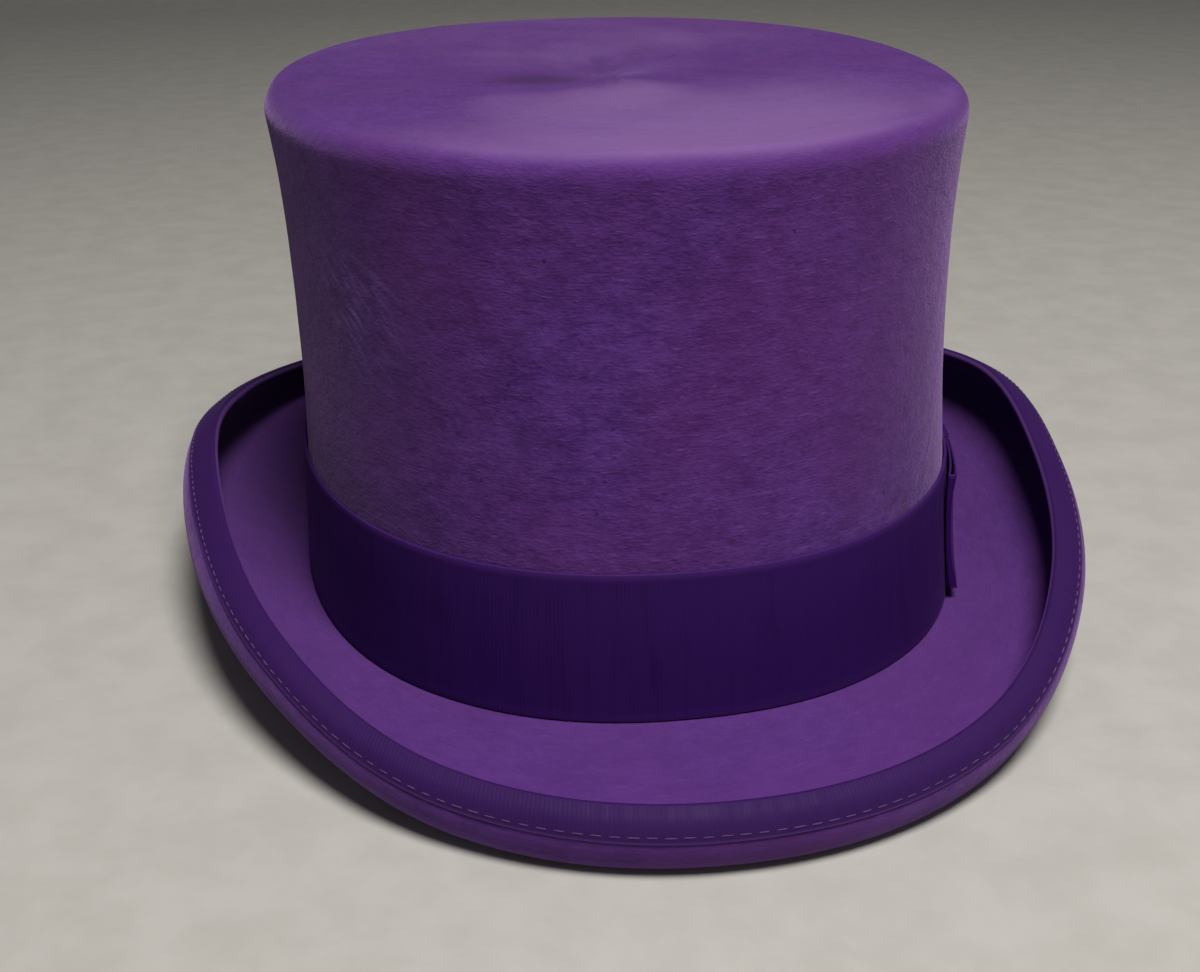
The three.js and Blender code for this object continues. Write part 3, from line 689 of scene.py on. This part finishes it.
# ---------------------------------------------------------------- strips: a rounded cross-section
def strip_rows(v0, v1, n, corner=0.25):
    """Places across a strip from v0 to v1 for its outer face, and the same back for its inner face, with soft edges.
    Returns v (K,) and the share through the thickness: 1 is the outer face and 0 the inner."""
    v0, v1 = np.broadcast_arrays(np.asarray(v0, float)[..., None], np.asarray(v1, float)[..., None])
    core = np.linspace(0, 1, n)
    a = np.linspace(0, PI, 7)[1:-1]
    sign = np.sign(v1 - v0)
    outer = v0 + sign * corner + (v1 - v0 - 2 * sign * corner) * core
    inner = outer[..., ::-1]
    edge_hi = v1 - sign * corner + sign * corner * np.sin(a)
    edge_lo = v0 + sign * corner - sign * corner * np.sin(a)
    v = np.concatenate([outer, edge_hi, inner, edge_lo], -1)
    through = np.concatenate([np.ones(n), 0.5 + 0.5 * np.cos(a), np.zeros(n), 0.5 - 0.5 * np.cos(a)])
    return v, through


def rim_of(n, k, reach=2):
    """1 at a strip's edge rows and 0 inside."""
    core = np.zeros(n)
    core[:reach] = np.linspace(1, 0, reach + 1)[:reach]
    core[-reach:] = np.linspace(0, 1, reach + 1)[1:]
    e = np.ones(5)
    r = np.concatenate([core, e, core[::-1], e])
    return r


def open_phi(start, n=N, gap_deg=0.15):
    g = math.radians(gap_deg)
    return start + np.linspace(g, 2 * PI - g, n)


def strip_object(name, P, material, girth, n_rows, wrap=False, rim_reach=2, attributes=None):
    k = P.shape[1]
    v = running(P)[: k + 1]
    u = np.arange(P.shape[0] + 1) / (P.shape[0] if wrap else P.shape[0] - 1) * girth * 0.001
    rim = np.broadcast_to(rim_of(n_rows, k, rim_reach)[:k], P.shape[:2])
    at = {"rim": rim}
    at.update(attributes or {})
    o = grid_object(name, P, material, u_of=u, v_of=v * 0.001, attributes=at, wrap_u=wrap, wrap_v=True, cap=not wrap)
    return face_out(o)


# ---- hatband
pb = open_phi(math.atan2(float(half_axes(23.0)[0]) * (1 - (26.0 / float(half_axes(23.0)[1])) ** EXPONENT) ** (1 / EXPONENT), 26.0), 600)
bb = Brim(pb)
rows = 22
lo = bb.top_z(1.3) + 0.35
hi = BAND_TOP - BAND_DROP * np.sin(pb) ** 2
v, through = strip_rows(lo, hi, rows, 0.22)
sag = waves(pb[:, None], v, 0.10, 21, (3, 9), 40)
height = (v - lo[:, None]) / (hi - lo)[:, None]
puff = 0.20 * np.sin(PI * np.clip(height, 0, 1)) + 0.12 * (np.abs(height - 0.5) > 0.46)
inset = 0.3 - 0.6 * through - through * (puff + 0.0) + 0.0 * v
inset = inset - through * np.clip(sag, -0.05, 0.12)
P = crown(pb, v, inset)
girth_band = float(np.linalg.norm(np.diff(crown(pb, 23.0, 0.0)[:, 0], axis=0), axis=1).sum())
hatband = strip_object("hatband_ribbon", P, band_cloth, girth_band, rows)
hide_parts("hatband")
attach(hatband, "root")


# ---- brim binding
pr = open_phi(PI, 720, 0.1)
rb = Brim(pr)
w = rb.width[:, None]
edge_at = w - 0.9 + 0.3
start = w - BINDING_WIDTH
t = np.linspace(0, 1, 12)[None]
turn = np.linspace(0, PI, 13)[1:-1][None]
CLOTH = 0.45
wobble = waves(pr[:, None], 0 * w, 0.18, 31, (5, 17), 40)
start_w = start + wobble
down = start_w + (edge_at - 0.4 - start_w) * t
rolls = np.linspace(0, PI, 7)[1:-1][None]
soft = 0.08 * np.sin(PI * t) + 0 * w
thick_at = brim_thick(down, w)
thick_end = brim_thick(edge_at - 0.4, w)
mid = thick_end / 2
NEAR = 0.04
rev = lambda x: x[:, ::-1]
blocks = [
    rb.at(down, -NEAR - CLOTH - soft),
    rb.at(edge_at - 0.4 + 0.95 * np.sin(turn) + 0 * w, mid - (mid + NEAR + CLOTH) * np.cos(turn)),
    rb.at(rev(down), rev(thick_at) + NEAR + CLOTH + rev(soft)),
    rb.at(start_w - 0.2 * np.sin(rolls), thick_at[:, :1] + NEAR + CLOTH / 2 + CLOTH / 2 * np.cos(rolls)),
    rb.at(down, thick_at + NEAR),
    rb.at(edge_at - 0.4 + 0.5 * np.sin(turn) + 0 * w, mid + (mid + NEAR) * np.cos(turn)),
    rb.at(rev(down), -NEAR + 0 * rev(thick_at)),
    rb.at(start_w - 0.2 * np.sin(rolls), -NEAR - CLOTH / 2 + CLOTH / 2 * np.cos(rolls) + 0 * w),
]
P = np.concatenate(blocks, 1)
# The rim attribute is high at the ribbon's free edges and peaks along the fold crest, where the lighter edge colour is
# a pale picot edge plus painted highlight.
hug = np.sin(np.linspace(0, PI, 11))
rim = np.concatenate([np.array([0.7, 0.3, 0, 0, 0, 0, 0, 0, 0, 0, 0.05, 0.15]), 0.05 + 0.95 * hug ** 4, np.array([0.5, 0.3, 0.15, 0.05, 0, 0, 0, 0, 0, 0, 0.3, 0.7]), np.ones(5), np.zeros(12 + 11 + 12), np.ones(5)])
girth_bind = float(np.linalg.norm(np.diff(rb.at(edge_at, 1.0)[:, 0], axis=0), axis=1).sum())
u = np.linspace(0, girth_bind, len(pr)) * 0.001
binding = grid_object("brim_binding_ribbon", P, bind_cloth, u_of=np.append(u, u[-1]), v_of=running(P) * 0.001, attributes={"rim": np.broadcast_to(rim, P.shape[:2])}, wrap_u=False, wrap_v=True, cap=True)
face_out(binding)
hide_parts("brim_binding")
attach(binding, "root")


# ---- stitches: each a short bent capsule
def stitches(name, path_of, count, length, material, radius=0.24, start=0.0, sink=0.12, jitter=0.0, seed=1, turn=None):
    """path_of(phi array) gives points (n, 3) and outward unit vectors (n, 3). One capsule a stitch, all in one mesh."""
    rng = np.random.default_rng(seed)
    rings, sides = 7, 8
    pts, faces, uv = [], [], []
    centre = start + np.arange(count) * 2 * PI / count
    for i, c in enumerate(centre):
        l = length * (1 + jitter * rng.uniform(-1, 1))
        q = c + np.linspace(-0.5, 0.5, rings) * l * 2 * PI / count
        p, outv = path_of(q)
        tang = np.gradient(p, axis=0)
        tang /= np.linalg.norm(tang, axis=1, keepdims=True)
        if turn is not None:
            pass
        side = np.cross(tang, outv)
        side /= np.linalg.norm(side, axis=1, keepdims=True)
        s = np.linspace(-1, 1, rings)
        r = radius * np.sqrt(np.clip(1 - np.abs(s) ** 3.2, 0.06, 1)) * (1 + 0.10 * rng.uniform(-1, 1))
        p = p + outv * (-sink - 0.35 * radius * s[:, None] ** 4 * 2) + side * (jitter * 0.3 * rng.uniform(-1, 1))
        b = len(pts) * 1
        base = len(pts)
        a = np.arange(sides) * 2 * PI / sides
        ring = p[:, None] + r[:, None, None] * (np.cos(a)[None, :, None] * side[:, None] + np.sin(a)[None, :, None] * outv[:, None])
        pts.extend(ring.reshape(-1, 3))
        k0 = base
        run = np.concatenate([[0], np.cumsum(np.linalg.norm(np.diff(p, axis=0), axis=1))]) * 0.001
        for j in range(rings - 1):
            for m in range(sides):
                m1 = (m + 1) % sides
                faces.append((k0 + j * sides + m, k0 + (j + 1) * sides + m, k0 + (j + 1) * sides + m1, k0 + j * sides + m1))
                uv += [(run[j], m / sides), (run[j + 1], m / sides), (run[j + 1], (m + 1) / sides), (run[j], (m + 1) / sides)]
        faces.append(tuple(k0 + m for m in range(sides)))
        uv += [(0, m / sides) for m in range(sides)]
        faces.append(tuple(k0 + (rings - 1) * sides + m for m in reversed(range(sides))))
        uv += [(run[-1], m / sides) for m in reversed(range(sides))]
    o = new_mesh(name, np.array(pts), faces, material, uv)
    return face_out(o)


def brim_path(offset_from_start, above, lean):
    def path(q):
        b = Brim(q, 8)
        l = (b.width - BINDING_WIDTH + offset_from_start)[:, None]
        p = b.at(l, above)[:, 0]
        further = b.at(l, above + lean)[:, 0]
        o = further - p
        return p, o / np.linalg.norm(o, axis=1, keepdims=True)

    return path


count = 270
outer_stitch = stitches("binding_stitches", brim_path(1.1, -0.60, -1.0), count, 0.66, stitch_thread, 0.14, 0.0, 0.03, 0.14, 5)
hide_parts("binding_stitching")
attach(outer_stitch, "root")
inner_stitch = stitches("binding_stitches_inner", brim_path(1.1, 2.62, 1.0), count, 0.60, stitch_thread, 0.16, PI / count, 0.03, 0.10, 6)
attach(inner_stitch, "root")

# ---- side bow
BOW_LO, BOW_HI = 8.7, 38.7
crown_x = lambda z: half_axes(z)[0] - lean(z)


BOW_CENTRE = -26.0


def side_point(y, outward, z):
    """A point on the bow's side of the crown, at a distance y along it and outward from it."""
    a, b = half_axes(BOW_LO)
    aa, bb_ = a + outward, b + outward
    x = aa * (1 - (np.abs(y) / bb_) ** EXPONENT) ** (1 / EXPONENT)
    return np.stack([x + crown_x(z) - crown_x(BOW_LO), y + 0 * x, z + 0 * x], -1)


def build_bow():
    half = 37.0
    ns = 220
    # the ribbon's path in plan: outer layer from the middle to one end, round the fold, back along the inner layer, and on
    s = np.linspace(0, 4, ns, endpoint=False)
    y = np.zeros(ns)
    o = np.zeros(ns)
    fold = 0.42
    for i, q in enumerate(s):
        leg, f = int(q), q - int(q)
        if leg == 0:  # outer, middle to +y end
            y[i], o[i] = f * (half - fold), 1
        elif leg == 1:  # +y end back to the middle on the inner layer
            y[i], o[i] = (1 - f) * (half - fold), 0
        elif leg == 2:
            y[i], o[i] = -f * (half - fold), 0
        else:
            y[i], o[i] = -(1 - f) * (half - fold), 1
    ya = np.abs(y) / half
    swell = np.sin(np.clip(ya, 0, 1) * PI * 0.62) ** 1.3
    inner = 0.72 + 0.05 * swell
    outer = 1.36 + 0.12 * swell
    off = np.where(o > 0.5, outer, inner)
    # round the folds
    path = np.stack([y, off], -1)
    dense = []
    for i in range(ns):
        dense.append(path[i])
    path = np.array(dense)
    ends = [ns // 4, 3 * ns // 4]
    pts = []
    for i in range(ns):
        pts.append(path[i])
        if i == ends[0] - 1 or i == ends[1] - 1:
            sgn = 1 if i == ends[0] - 1 else -1
            a0, a1 = path[i], path[(i + 1) % ns]
            mid_o, rad = (a0[1] + a1[1]) / 2, abs(a0[1] - a1[1]) / 2
            direction = 1 if a0[1] > a1[1] else -1
            for t in np.linspace(0, PI, 11)[1:-1]:
                pts.append([a0[0] + sgn * fold * math.sin(t), mid_o + direction * rad * math.cos(t)])
    path = np.array(pts)
    m = len(path)
    ya = np.abs(path[:, 0]) / half
    pinch = 1 - 0.26 * np.exp(-((path[:, 0] / 8.5) ** 2))
    mid_z, half_z = (BOW_LO + BOW_HI) / 2, (BOW_HI - BOW_LO) / 2
    n_rows = 26
    v, through = strip_rows(-1.0, 1.0, n_rows, 0.016)
    v = v * np.ones((m, 1))
    # offsets of the strip's middle line, then half the thickness along the path's normal
    d = np.roll(path, -1, 0) - np.roll(path, 1, 0)
    d /= np.linalg.norm(d, axis=1, keepdims=True)
    normal = np.stack([-d[:, 1], d[:, 0]], -1)  # towards the outside of the loop
    side = np.where((np.arange(m) < m / 2), 1.0, 1.0)
    thick = 0.5
    yy = path[:, :1] + normal[:, :1] * thick * (through - 0.5)[None]
    oo = path[:, 1:] + normal[:, 1:] * thick * (through - 0.5)[None]
    on_outer = np.clip((path[:, 1] - 0.8) / 0.5, 0, 1)[:, None]
    # gathers that fan out from the knot, and corners that lift away from the band at the loops' ends
    near = np.exp(-np.abs(path[:, :1]) / 9.0)
    oo = oo + on_outer * near * 0.14 * np.sin(v * 7.5 + 0.6 * np.sign(path[:, :1]))
    lift = np.clip((ya[:, None] - 0.45) / 0.55, 0, 1) ** 1.6
    flare_hi, flare_lo = 1.5, 1.7
    flare = np.where(v > 0, flare_hi * np.clip(v, 0, 1) ** 2.6, flare_lo * np.clip(-v, 0, 1) ** 2.6)
    oo = oo + lift * flare * (0.42 + 0.58 * on_outer)
    zz = mid_z + half_z * pinch[:, None] * v + lift * 0.9 * np.sign(v) * np.abs(v) ** 3
    P = side_point(yy + BOW_CENTRE, oo, zz)
    o = strip_object("bow_loops", P, bow_cloth, 4 * half + 4, n_rows, wrap=True, rim_reach=1)
    return o


bow = build_bow()
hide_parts("bow_ribbon")
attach(bow, "root")


def build_knot():
    """A short strip that wraps the bow's middle, pulled narrow, with soft pleats along it."""
    z0, z1 = BOW_LO + 1.6, BOW_HI - 1.6
    m = 96
    q = np.arange(m) / m
    # a flattened ring in (outward, height): front face, over the top, back face, round the bottom
    mid_z, half_z = (z0 + z1) / 2, (z1 - z0) / 2
    ang = q * 2 * PI
    c, s = np.cos(ang), np.sin(ang)
    front_o, back_o = 2.35, 0.5
    mid_o, half_o = (front_o + back_o) / 2, (front_o - back_o) / 2
    oo = mid_o + half_o * np.sign(c) * np.abs(c) ** 0.35
    zz = mid_z + half_z * np.sign(s) * np.abs(s) ** 0.75
    oo = oo + np.where(c > 0, 0.75 * np.cos(s * PI / 2), 0)
    path = np.stack([oo, zz], -1)
    d = np.roll(path, -1, 0) - np.roll(path, 1, 0)
    d /= np.linalg.norm(d, axis=1, keepdims=True)
    normal = np.stack([d[:, 1], -d[:, 0]], -1)
    n_rows = 20
    v, through = strip_rows(-1.0, 1.0, n_rows, 0.04)
    width = 5.2 + 0.8 * np.abs(s) ** 2
    y = v[None] * width[:, None]
    pleat = 0.16 * np.sin(v * 9.0)[None] * (c > 0)[:, None]
    roll = -0.55 * np.abs(v)[None] ** 4 * (c > 0)[:, None]
    dist = 0.45 * (through - 0.5)[None] + pleat * 1.0 + roll
    oo = path[:, :1] + normal[:, :1] * dist
    zz = path[:, 1:] + normal[:, 1:] * dist
    P = side_point(y + BOW_CENTRE, oo, zz)
    return strip_object("bow_knot_wrap", P, bow_cloth, 66.0, n_rows, wrap=True, rim_reach=1)


knot = build_knot()
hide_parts("bow_knot")
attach(knot, "root")

# ---------------------------------------------------------------- inside the crown
pw = open_phi(PI, 480, 0.15)

# ---- sweatband: thin leather, a little wavy along its free top edge
rows = 26
v, through = strip_rows(3.6, 43.0, rows, 0.3)
v = v * np.ones((len(pw), 1))
h = np.clip((v - 20) / 23, 0, 1)
wave = waves(pw[:, None], v * 0, 0.55, 41, (3, 8), 50) * h
inset = 6.2 - 1.0 * through + np.clip(wave, -0.45, 0.7)
v2 = v + waves(pw[:, None], v * 0, 0.3, 42, (2, 6), 50) * h
P = crown(pw, v2, inset)
girth_in = float(np.linalg.norm(np.diff(crown(pw, 20.0, 5.7)[:, 0], axis=0), axis=1).sum())
sweat = strip_object("sweatband_leather_strip", P, leather, girth_in, rows)
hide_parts("sweatband")
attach(sweat, "root")


def wall_path(z, inset, zig=0.0, count=1):
    def path(q):
        zz = z + zig * np.sin(q * count / 1.0)
        p = crown(q, zz[:, None] if np.ndim(zz) else z, inset)[:, 0]
        further = crown(q, zz[:, None] if np.ndim(zz) else z, inset + 1.0)[:, 0]
        o = further - p
        return p, o / np.linalg.norm(o, axis=1, keepdims=True)

    return path


sew = stitches("sweatband_stitches", wall_path(6.8, 6.38, 0.75, 150), 200, 0.66, dark_thread, 0.22, 0.0, 0.06, 0.08, 9)
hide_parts("sweatband_stitching")
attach(sew, "root")

# ---- reed and its tape
v, through = strip_rows(4.35, 7.25, 4, 0.2)
P = crown(pw, v * np.ones((len(pw), 1)), 4.5 - 0.5 * through)
reed = strip_object("sweatband_reed_strip", P, reed_plastic, girth_in, 4)
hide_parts("sweatband_reed")
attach(reed, "root")
prof = np.array([[3.6, 3.5], [6.0, 3.48], [9.4, 3.5], [9.45, 3.65], [9.4, 3.8], [7.0, 3.8], [4.3, 3.8], [4.0, 4.0], [3.95, 4.25], [4.0, 4.55], [4.3, 4.7], [7.0, 4.7], [9.4, 4.7], [9.45, 4.82], [9.4, 4.95], [6.0, 4.97], [3.9, 4.95], [3.6, 4.7], [3.5, 4.25], [3.5, 3.8]])
P = crown(pw, prof[:, 0] * np.ones((len(pw), 1)), prof[:, 1])
u = np.linspace(0, girth_in, len(pw)) * 0.001
tape = grid_object("reed_tape_fold", P, cotton, u_of=np.append(u, u[-1]), v_of=running(P) * 0.001, wrap_u=False, wrap_v=True, cap=True)
face_out(tape)
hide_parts("reed_tape")
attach(tape, "root")


def wall_patch(name, at, span, z0, z1, inset_out, inset_in, material, nu=28, nv=14, shape=None, relief=None):
    """A patch against the crown's wall. shape(u, v) moves its outline; u and v run from -1 to 1."""
    n_rows = nv
    v, through = strip_rows(-1.0, 1.0, n_rows, 0.05)
    uu = np.linspace(-1, 1, nu)[:, None]
    vv = v[None] * np.ones((nu, 1))
    z = (z0 + z1) / 2 + (z1 - z0) / 2 * vv
    x = span / 2 * uu * np.ones_like(vv)
    if shape is not None:
        x, z = shape(uu, vv, x, z)
    a, b = half_axes((z0 + z1) / 2)
    r = oval(a, b, EXPONENT, at)
    ph = at - x / r
    inset = inset_in - (inset_in - inset_out) * through[None] + 0 * vv
    if relief is not None:
        inset = inset + relief(uu, vv)
    aa, bb_ = half_axes(z)
    rr = oval(aa - inset, bb_ - inset, EXPONENT, ph)
    P = np.stack([rr * np.sin(ph) - lean(z), -rr * np.cos(ph), z], -1)
    u_len = np.linspace(0, span, nu) * 0.001
    o = grid_object(name, P, material, u_of=np.append(u_len, u_len[-1]), v_of=running(P) * 0.001, attributes={"rim": np.broadcast_to(rim_of(n_rows, 0, 1), P.shape[:2])}, wrap_u=False, wrap_v=True, cap=True)
    return face_out(o)


seam = wall_patch("sweatband_seam_cover", PI, 14.0, 10.0, 40.0, 4.2, 4.6, cotton)
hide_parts("sweatband_seam_tape")
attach(seam, "root")
label = wall_patch("size_label_blank", PI - 0.62, 20.0, 17.0, 29.0, 6.5, 6.8, label_cloth, relief=lambda u, v: 0.18 * (np.abs(u) ** 6) * np.abs(v) ** 4)
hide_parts("size_label")
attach(label, "root")


# ---- small flat bow over the sweatband's rear joint: two loops and a knot
def trim_loop(name, sgn):
    m, n_rows = 60, 12
    q = np.linspace(0, 1, m)
    # out along the outer layer, round the end, back along the inner layer
    x = 2.0 + 12.8 * np.sin(q * PI) ** 0.8
    off = np.where(q < 0.5, 1.45 - 0.5 * (2 * q) ** 3, 0.35 + 0.6 * (2 * (1 - q)) ** 3 * 0.3 + 0.0)
    off = np.interp(q, [0, 0.2, 0.4, 0.5, 0.6, 0.8, 1.0], [1.25, 1.35, 1.15, 0.8, 0.45, 0.3, 0.3])
    v, through = strip_rows(-1.0, 1.0, n_rows, 0.06)
    path = np.stack([x, off], -1)
    d = np.gradient(path, axis=0)
    d /= np.linalg.norm(d, axis=1, keepdims=True)
    normal = np.stack([-d[:, 1], d[:, 0]], -1)
    dist = 0.28 * (through - 0.5)[None]
    xx = path[:, :1] + normal[:, :1] * dist
    oo = path[:, 1:] + normal[:, 1:] * dist
    spread = 1.9 + 2.6 * np.clip((xx - 2.0) / 12.8, 0, 1) ** 0.8
    zz = 32.0 + spread * v[None] + sgn * 0.35 * (xx / 15)
    inset = 6.55 + oo + 0.10 * np.sin(v[None] * 6) * np.exp(-(xx - 2) / 5)
    a, b = half_axes(32.0)
    r = oval(a, b, EXPONENT, PI)
    ph = PI - sgn * xx / r
    aa, bb_ = half_axes(zz)
    rr = oval(aa - inset, bb_ - inset, EXPONENT, ph)
    P = np.stack([rr * np.sin(ph) - lean(zz), -rr * np.cos(ph), zz], -1)
    u_len = np.linspace(0, 28, m) * 0.001
    o = grid_object(name, P, bow_satin, u_of=np.append(u_len, u_len[-1]), v_of=running(P) * 0.001, wrap_u=False, wrap_v=True, cap=True)
    return face_out(o)


loops = [trim_loop("trim_bow_loop_left", 1), trim_loop("trim_bow_loop_right", -1)]
trim_knot = wall_patch("trim_bow_knot", PI, 5.0, 29.4, 34.6, 6.7, 8.1, bow_satin, 16, 12, relief=lambda u, v: -0.25 + 0.35 * np.abs(u) ** 3)
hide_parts("sweatband_bow")
for piece in (*loops, trim_knot):
    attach(piece, "root")

# ---- lining: satin tube, gathered a little, with a sewn tip
rows = 90
pl = np.arange(420) * 2 * PI / 420
v, through = strip_rows(13.0, TIP_INNER - 1.3, rows, 0.12)
v = v * np.ones((len(pl), 1))
top = np.clip((v - 40) / 83, 0, 1)
fold = waves(pl[:, None], v, 0.55, 51, (4, 12), 60) + 0.30 * np.sin(pl[:, None] * 46 + 1.5 * np.sin(pl[:, None] * 5)) * top ** 3
inset = 3.9 - 0.4 * through + np.clip(fold + 0.35, 0.0, 1.2) * np.clip((v - 44) / 10, 0, 1)
turn_in = np.clip((v - (TIP_INNER - 5.3)) / 4.0, 0, 1)
inset = inset + 3.3 * (1 - np.sqrt(1 - 0.98 * turn_in**2))
P = crown(pl, v, inset)
girth_l = float(np.linalg.norm(np.diff(crown(pl, 70.0, 3.7)[:, 0], axis=0), axis=1).sum())
side_lining = strip_object("lining_side_satin", P, lining_cloth, girth_l, rows, wrap=True)
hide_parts("lining_side")
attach(side_lining, "root")

share = np.linspace(0, 1, 34)
level = tip_z(TIP_INNER - 0.3, share)
ps = pl
under = crown(ps, level - 0.4 - 0.12, INNER + 3.4, share)
puck = 0.22 * np.sin(ps[:, None] * 40) * np.clip((share - 0.82) / 0.18, 0, 1)[None] ** 2
under[..., 2] -= np.abs(puck)
over = crown(ps, level[::-1], INNER + 3.4, share[::-1])
P = np.concatenate([under, over], 1)
lining_tip = grid_object("lining_tip_satin", P, lining_cloth, v_of=np.arange(P.shape[1] + 1) * 0.002, wrap_v=False, poles=(True, True))
face_out(lining_tip)
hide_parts("lining_tip")
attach(lining_tip, "root")

# ---- clear guard under the lining's tip
ang = ps
share = np.linspace(0, 1, 22)
gx, gy = 38 * np.sin(ang)[:, None] * share[None], -52 * np.cos(ang)[:, None] * share[None]
ref = oval(*(np.array(half_axes(TIP_INNER)) - (INNER + 3.4)), EXPONENT, ang)[:, None]
near_share = np.clip(np.hypot(gx, gy) / ref, 0, 1)
zg = tip_z(TIP_INNER - 0.3, near_share) - 0.4 - 0.75
gx = gx - lean(TIP_INNER)
lo_face = np.stack([gx, gy, zg - 0.3], -1)
hi_face = np.stack([gx, gy, zg], -1)[:, ::-1]
P = np.concatenate([lo_face, hi_face], 1)
guard = grid_object("tip_guard_film", P, film, v_of=np.arange(P.shape[1] + 1) * 0.002, wrap_v=False, poles=(True, True))
face_out(guard)
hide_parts("tip_guard")
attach(guard, "root")

# ---------------------------------------------------------------- floor, light, camera
fl = Shade("floor")
speck = fl.noise(fl.obj(), 60.0, 4.0, 0.6)
floor_material = fl.done(fl.mix(fl.span(speck, 0.3, 0.7), (0.42, 0.405, 0.375), (0.46, 0.445, 0.415)), None, 0.75, Specular_IOR_Level=0.2)
me = bpy.data.meshes.new("floor")
side = 4.0
# a pale floor that curves up into a pale wall well behind the hat
prof = [(-2.5, 0.0)] + [(1.2 + 0.9 * math.sin(t), 0.9 - 0.9 * math.cos(t)) for t in np.linspace(0, PI / 2, 24)] + [(2.1, 3.0)]
verts = [(x, y, z - 0.0002) for y, z in prof for x in (-side, side)]
faces = [(2 * i, 2 * i + 1, 2 * i + 3, 2 * i + 2) for i in range(len(prof) - 1)]
me.from_pydata(verts, [], faces)
me.polygons.foreach_set("use_smooth", [True] * len(me.polygons))
me.materials.append(floor_material)
floor = bpy.data.objects.new("floor", me)
bpy.context.scene.collection.objects.link(floor)
floor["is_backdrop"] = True


def area_light(name, at, aim, size, power, colour=(1, 1, 1)):
    d = bpy.data.lights.new(name, "AREA")
    d.shape = "DISK"
    d.size = size
    d.energy = power
    d.color = colour
    o = bpy.data.objects.new(name, d)
    o.location = at
    o.rotation_mode = "QUATERNION"
    o.rotation_quaternion = (Vector(aim) - Vector(at)).to_track_quat("-Z", "Y")
    bpy.context.scene.collection.objects.link(o)


area_light("top", (0.10, -0.50, 1.12), (0, 0, 0.06), 0.45, 17.0, (1.0, 0.985, 0.96))
area_light("key", (0.95, -0.9, 0.75), (0, 0, 0.05), 0.6, 0.2, (1.0, 0.98, 0.95))
area_light("front", (0.12, -1.5, 0.45), (0, 0, 0.06), 0.6, 0.9, (1.0, 0.99, 0.98))
world = bpy.data.worlds.new("studio")
bpy.context.scene.world = world
world.use_nodes = True
bg = world.node_tree.nodes.get("Background") or world.node_tree.nodes.new("ShaderNodeBackground")
bg.inputs[0].default_value = (0.93, 0.95, 1.0, 1.0)
bg.inputs[1].default_value = 0.055

CAM = dict(D=395.8, h=188.4, yaw=-8.83, tx=-5.18, tz=8.45, roll=-0.83, f=1539.3)
a = math.radians(CAM["yaw"])
C = np.array([math.sin(a) * CAM["D"], -math.cos(a) * CAM["D"], CAM["h"]])
T = np.array([0, 0, CAM["tz"]]) + np.array([math.cos(a), math.sin(a), 0]) * CAM["tx"]
fw = (T - C) / np.linalg.norm(T - C)
r = np.cross(fw, [0, 0, 1.0])
r /= np.linalg.norm(r)
u = np.cross(r, fw)
ro = math.radians(CAM["roll"])
r2, u2 = math.cos(ro) * r + math.sin(ro) * u, -math.sin(ro) * r + math.cos(ro) * u
cam_data = bpy.data.cameras.new("camera")
cam_data.sensor_fit = "HORIZONTAL"
cam_data.sensor_width = 36.0
cam_data.lens = CAM["f"] / 1200 * 36
cam_data.clip_start, cam_data.clip_end = 0.01, 50
cam = bpy.data.objects.new("camera", cam_data)
pos = (C + np.array([0, 0, CREASE_Z])) * 0.001
cam.matrix_world = Matrix([[r2[i], u2[i], -fw[i], pos[i]] for i in range(3)] + [[0, 0, 0, 1]])
bpy.context.scene.collection.objects.link(cam)
bpy.context.scene.camera = cam
bpy.context.scene.view_settings.view_transform = "Standard"
bpy.context.scene.view_settings.look = "None"

lo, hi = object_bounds()
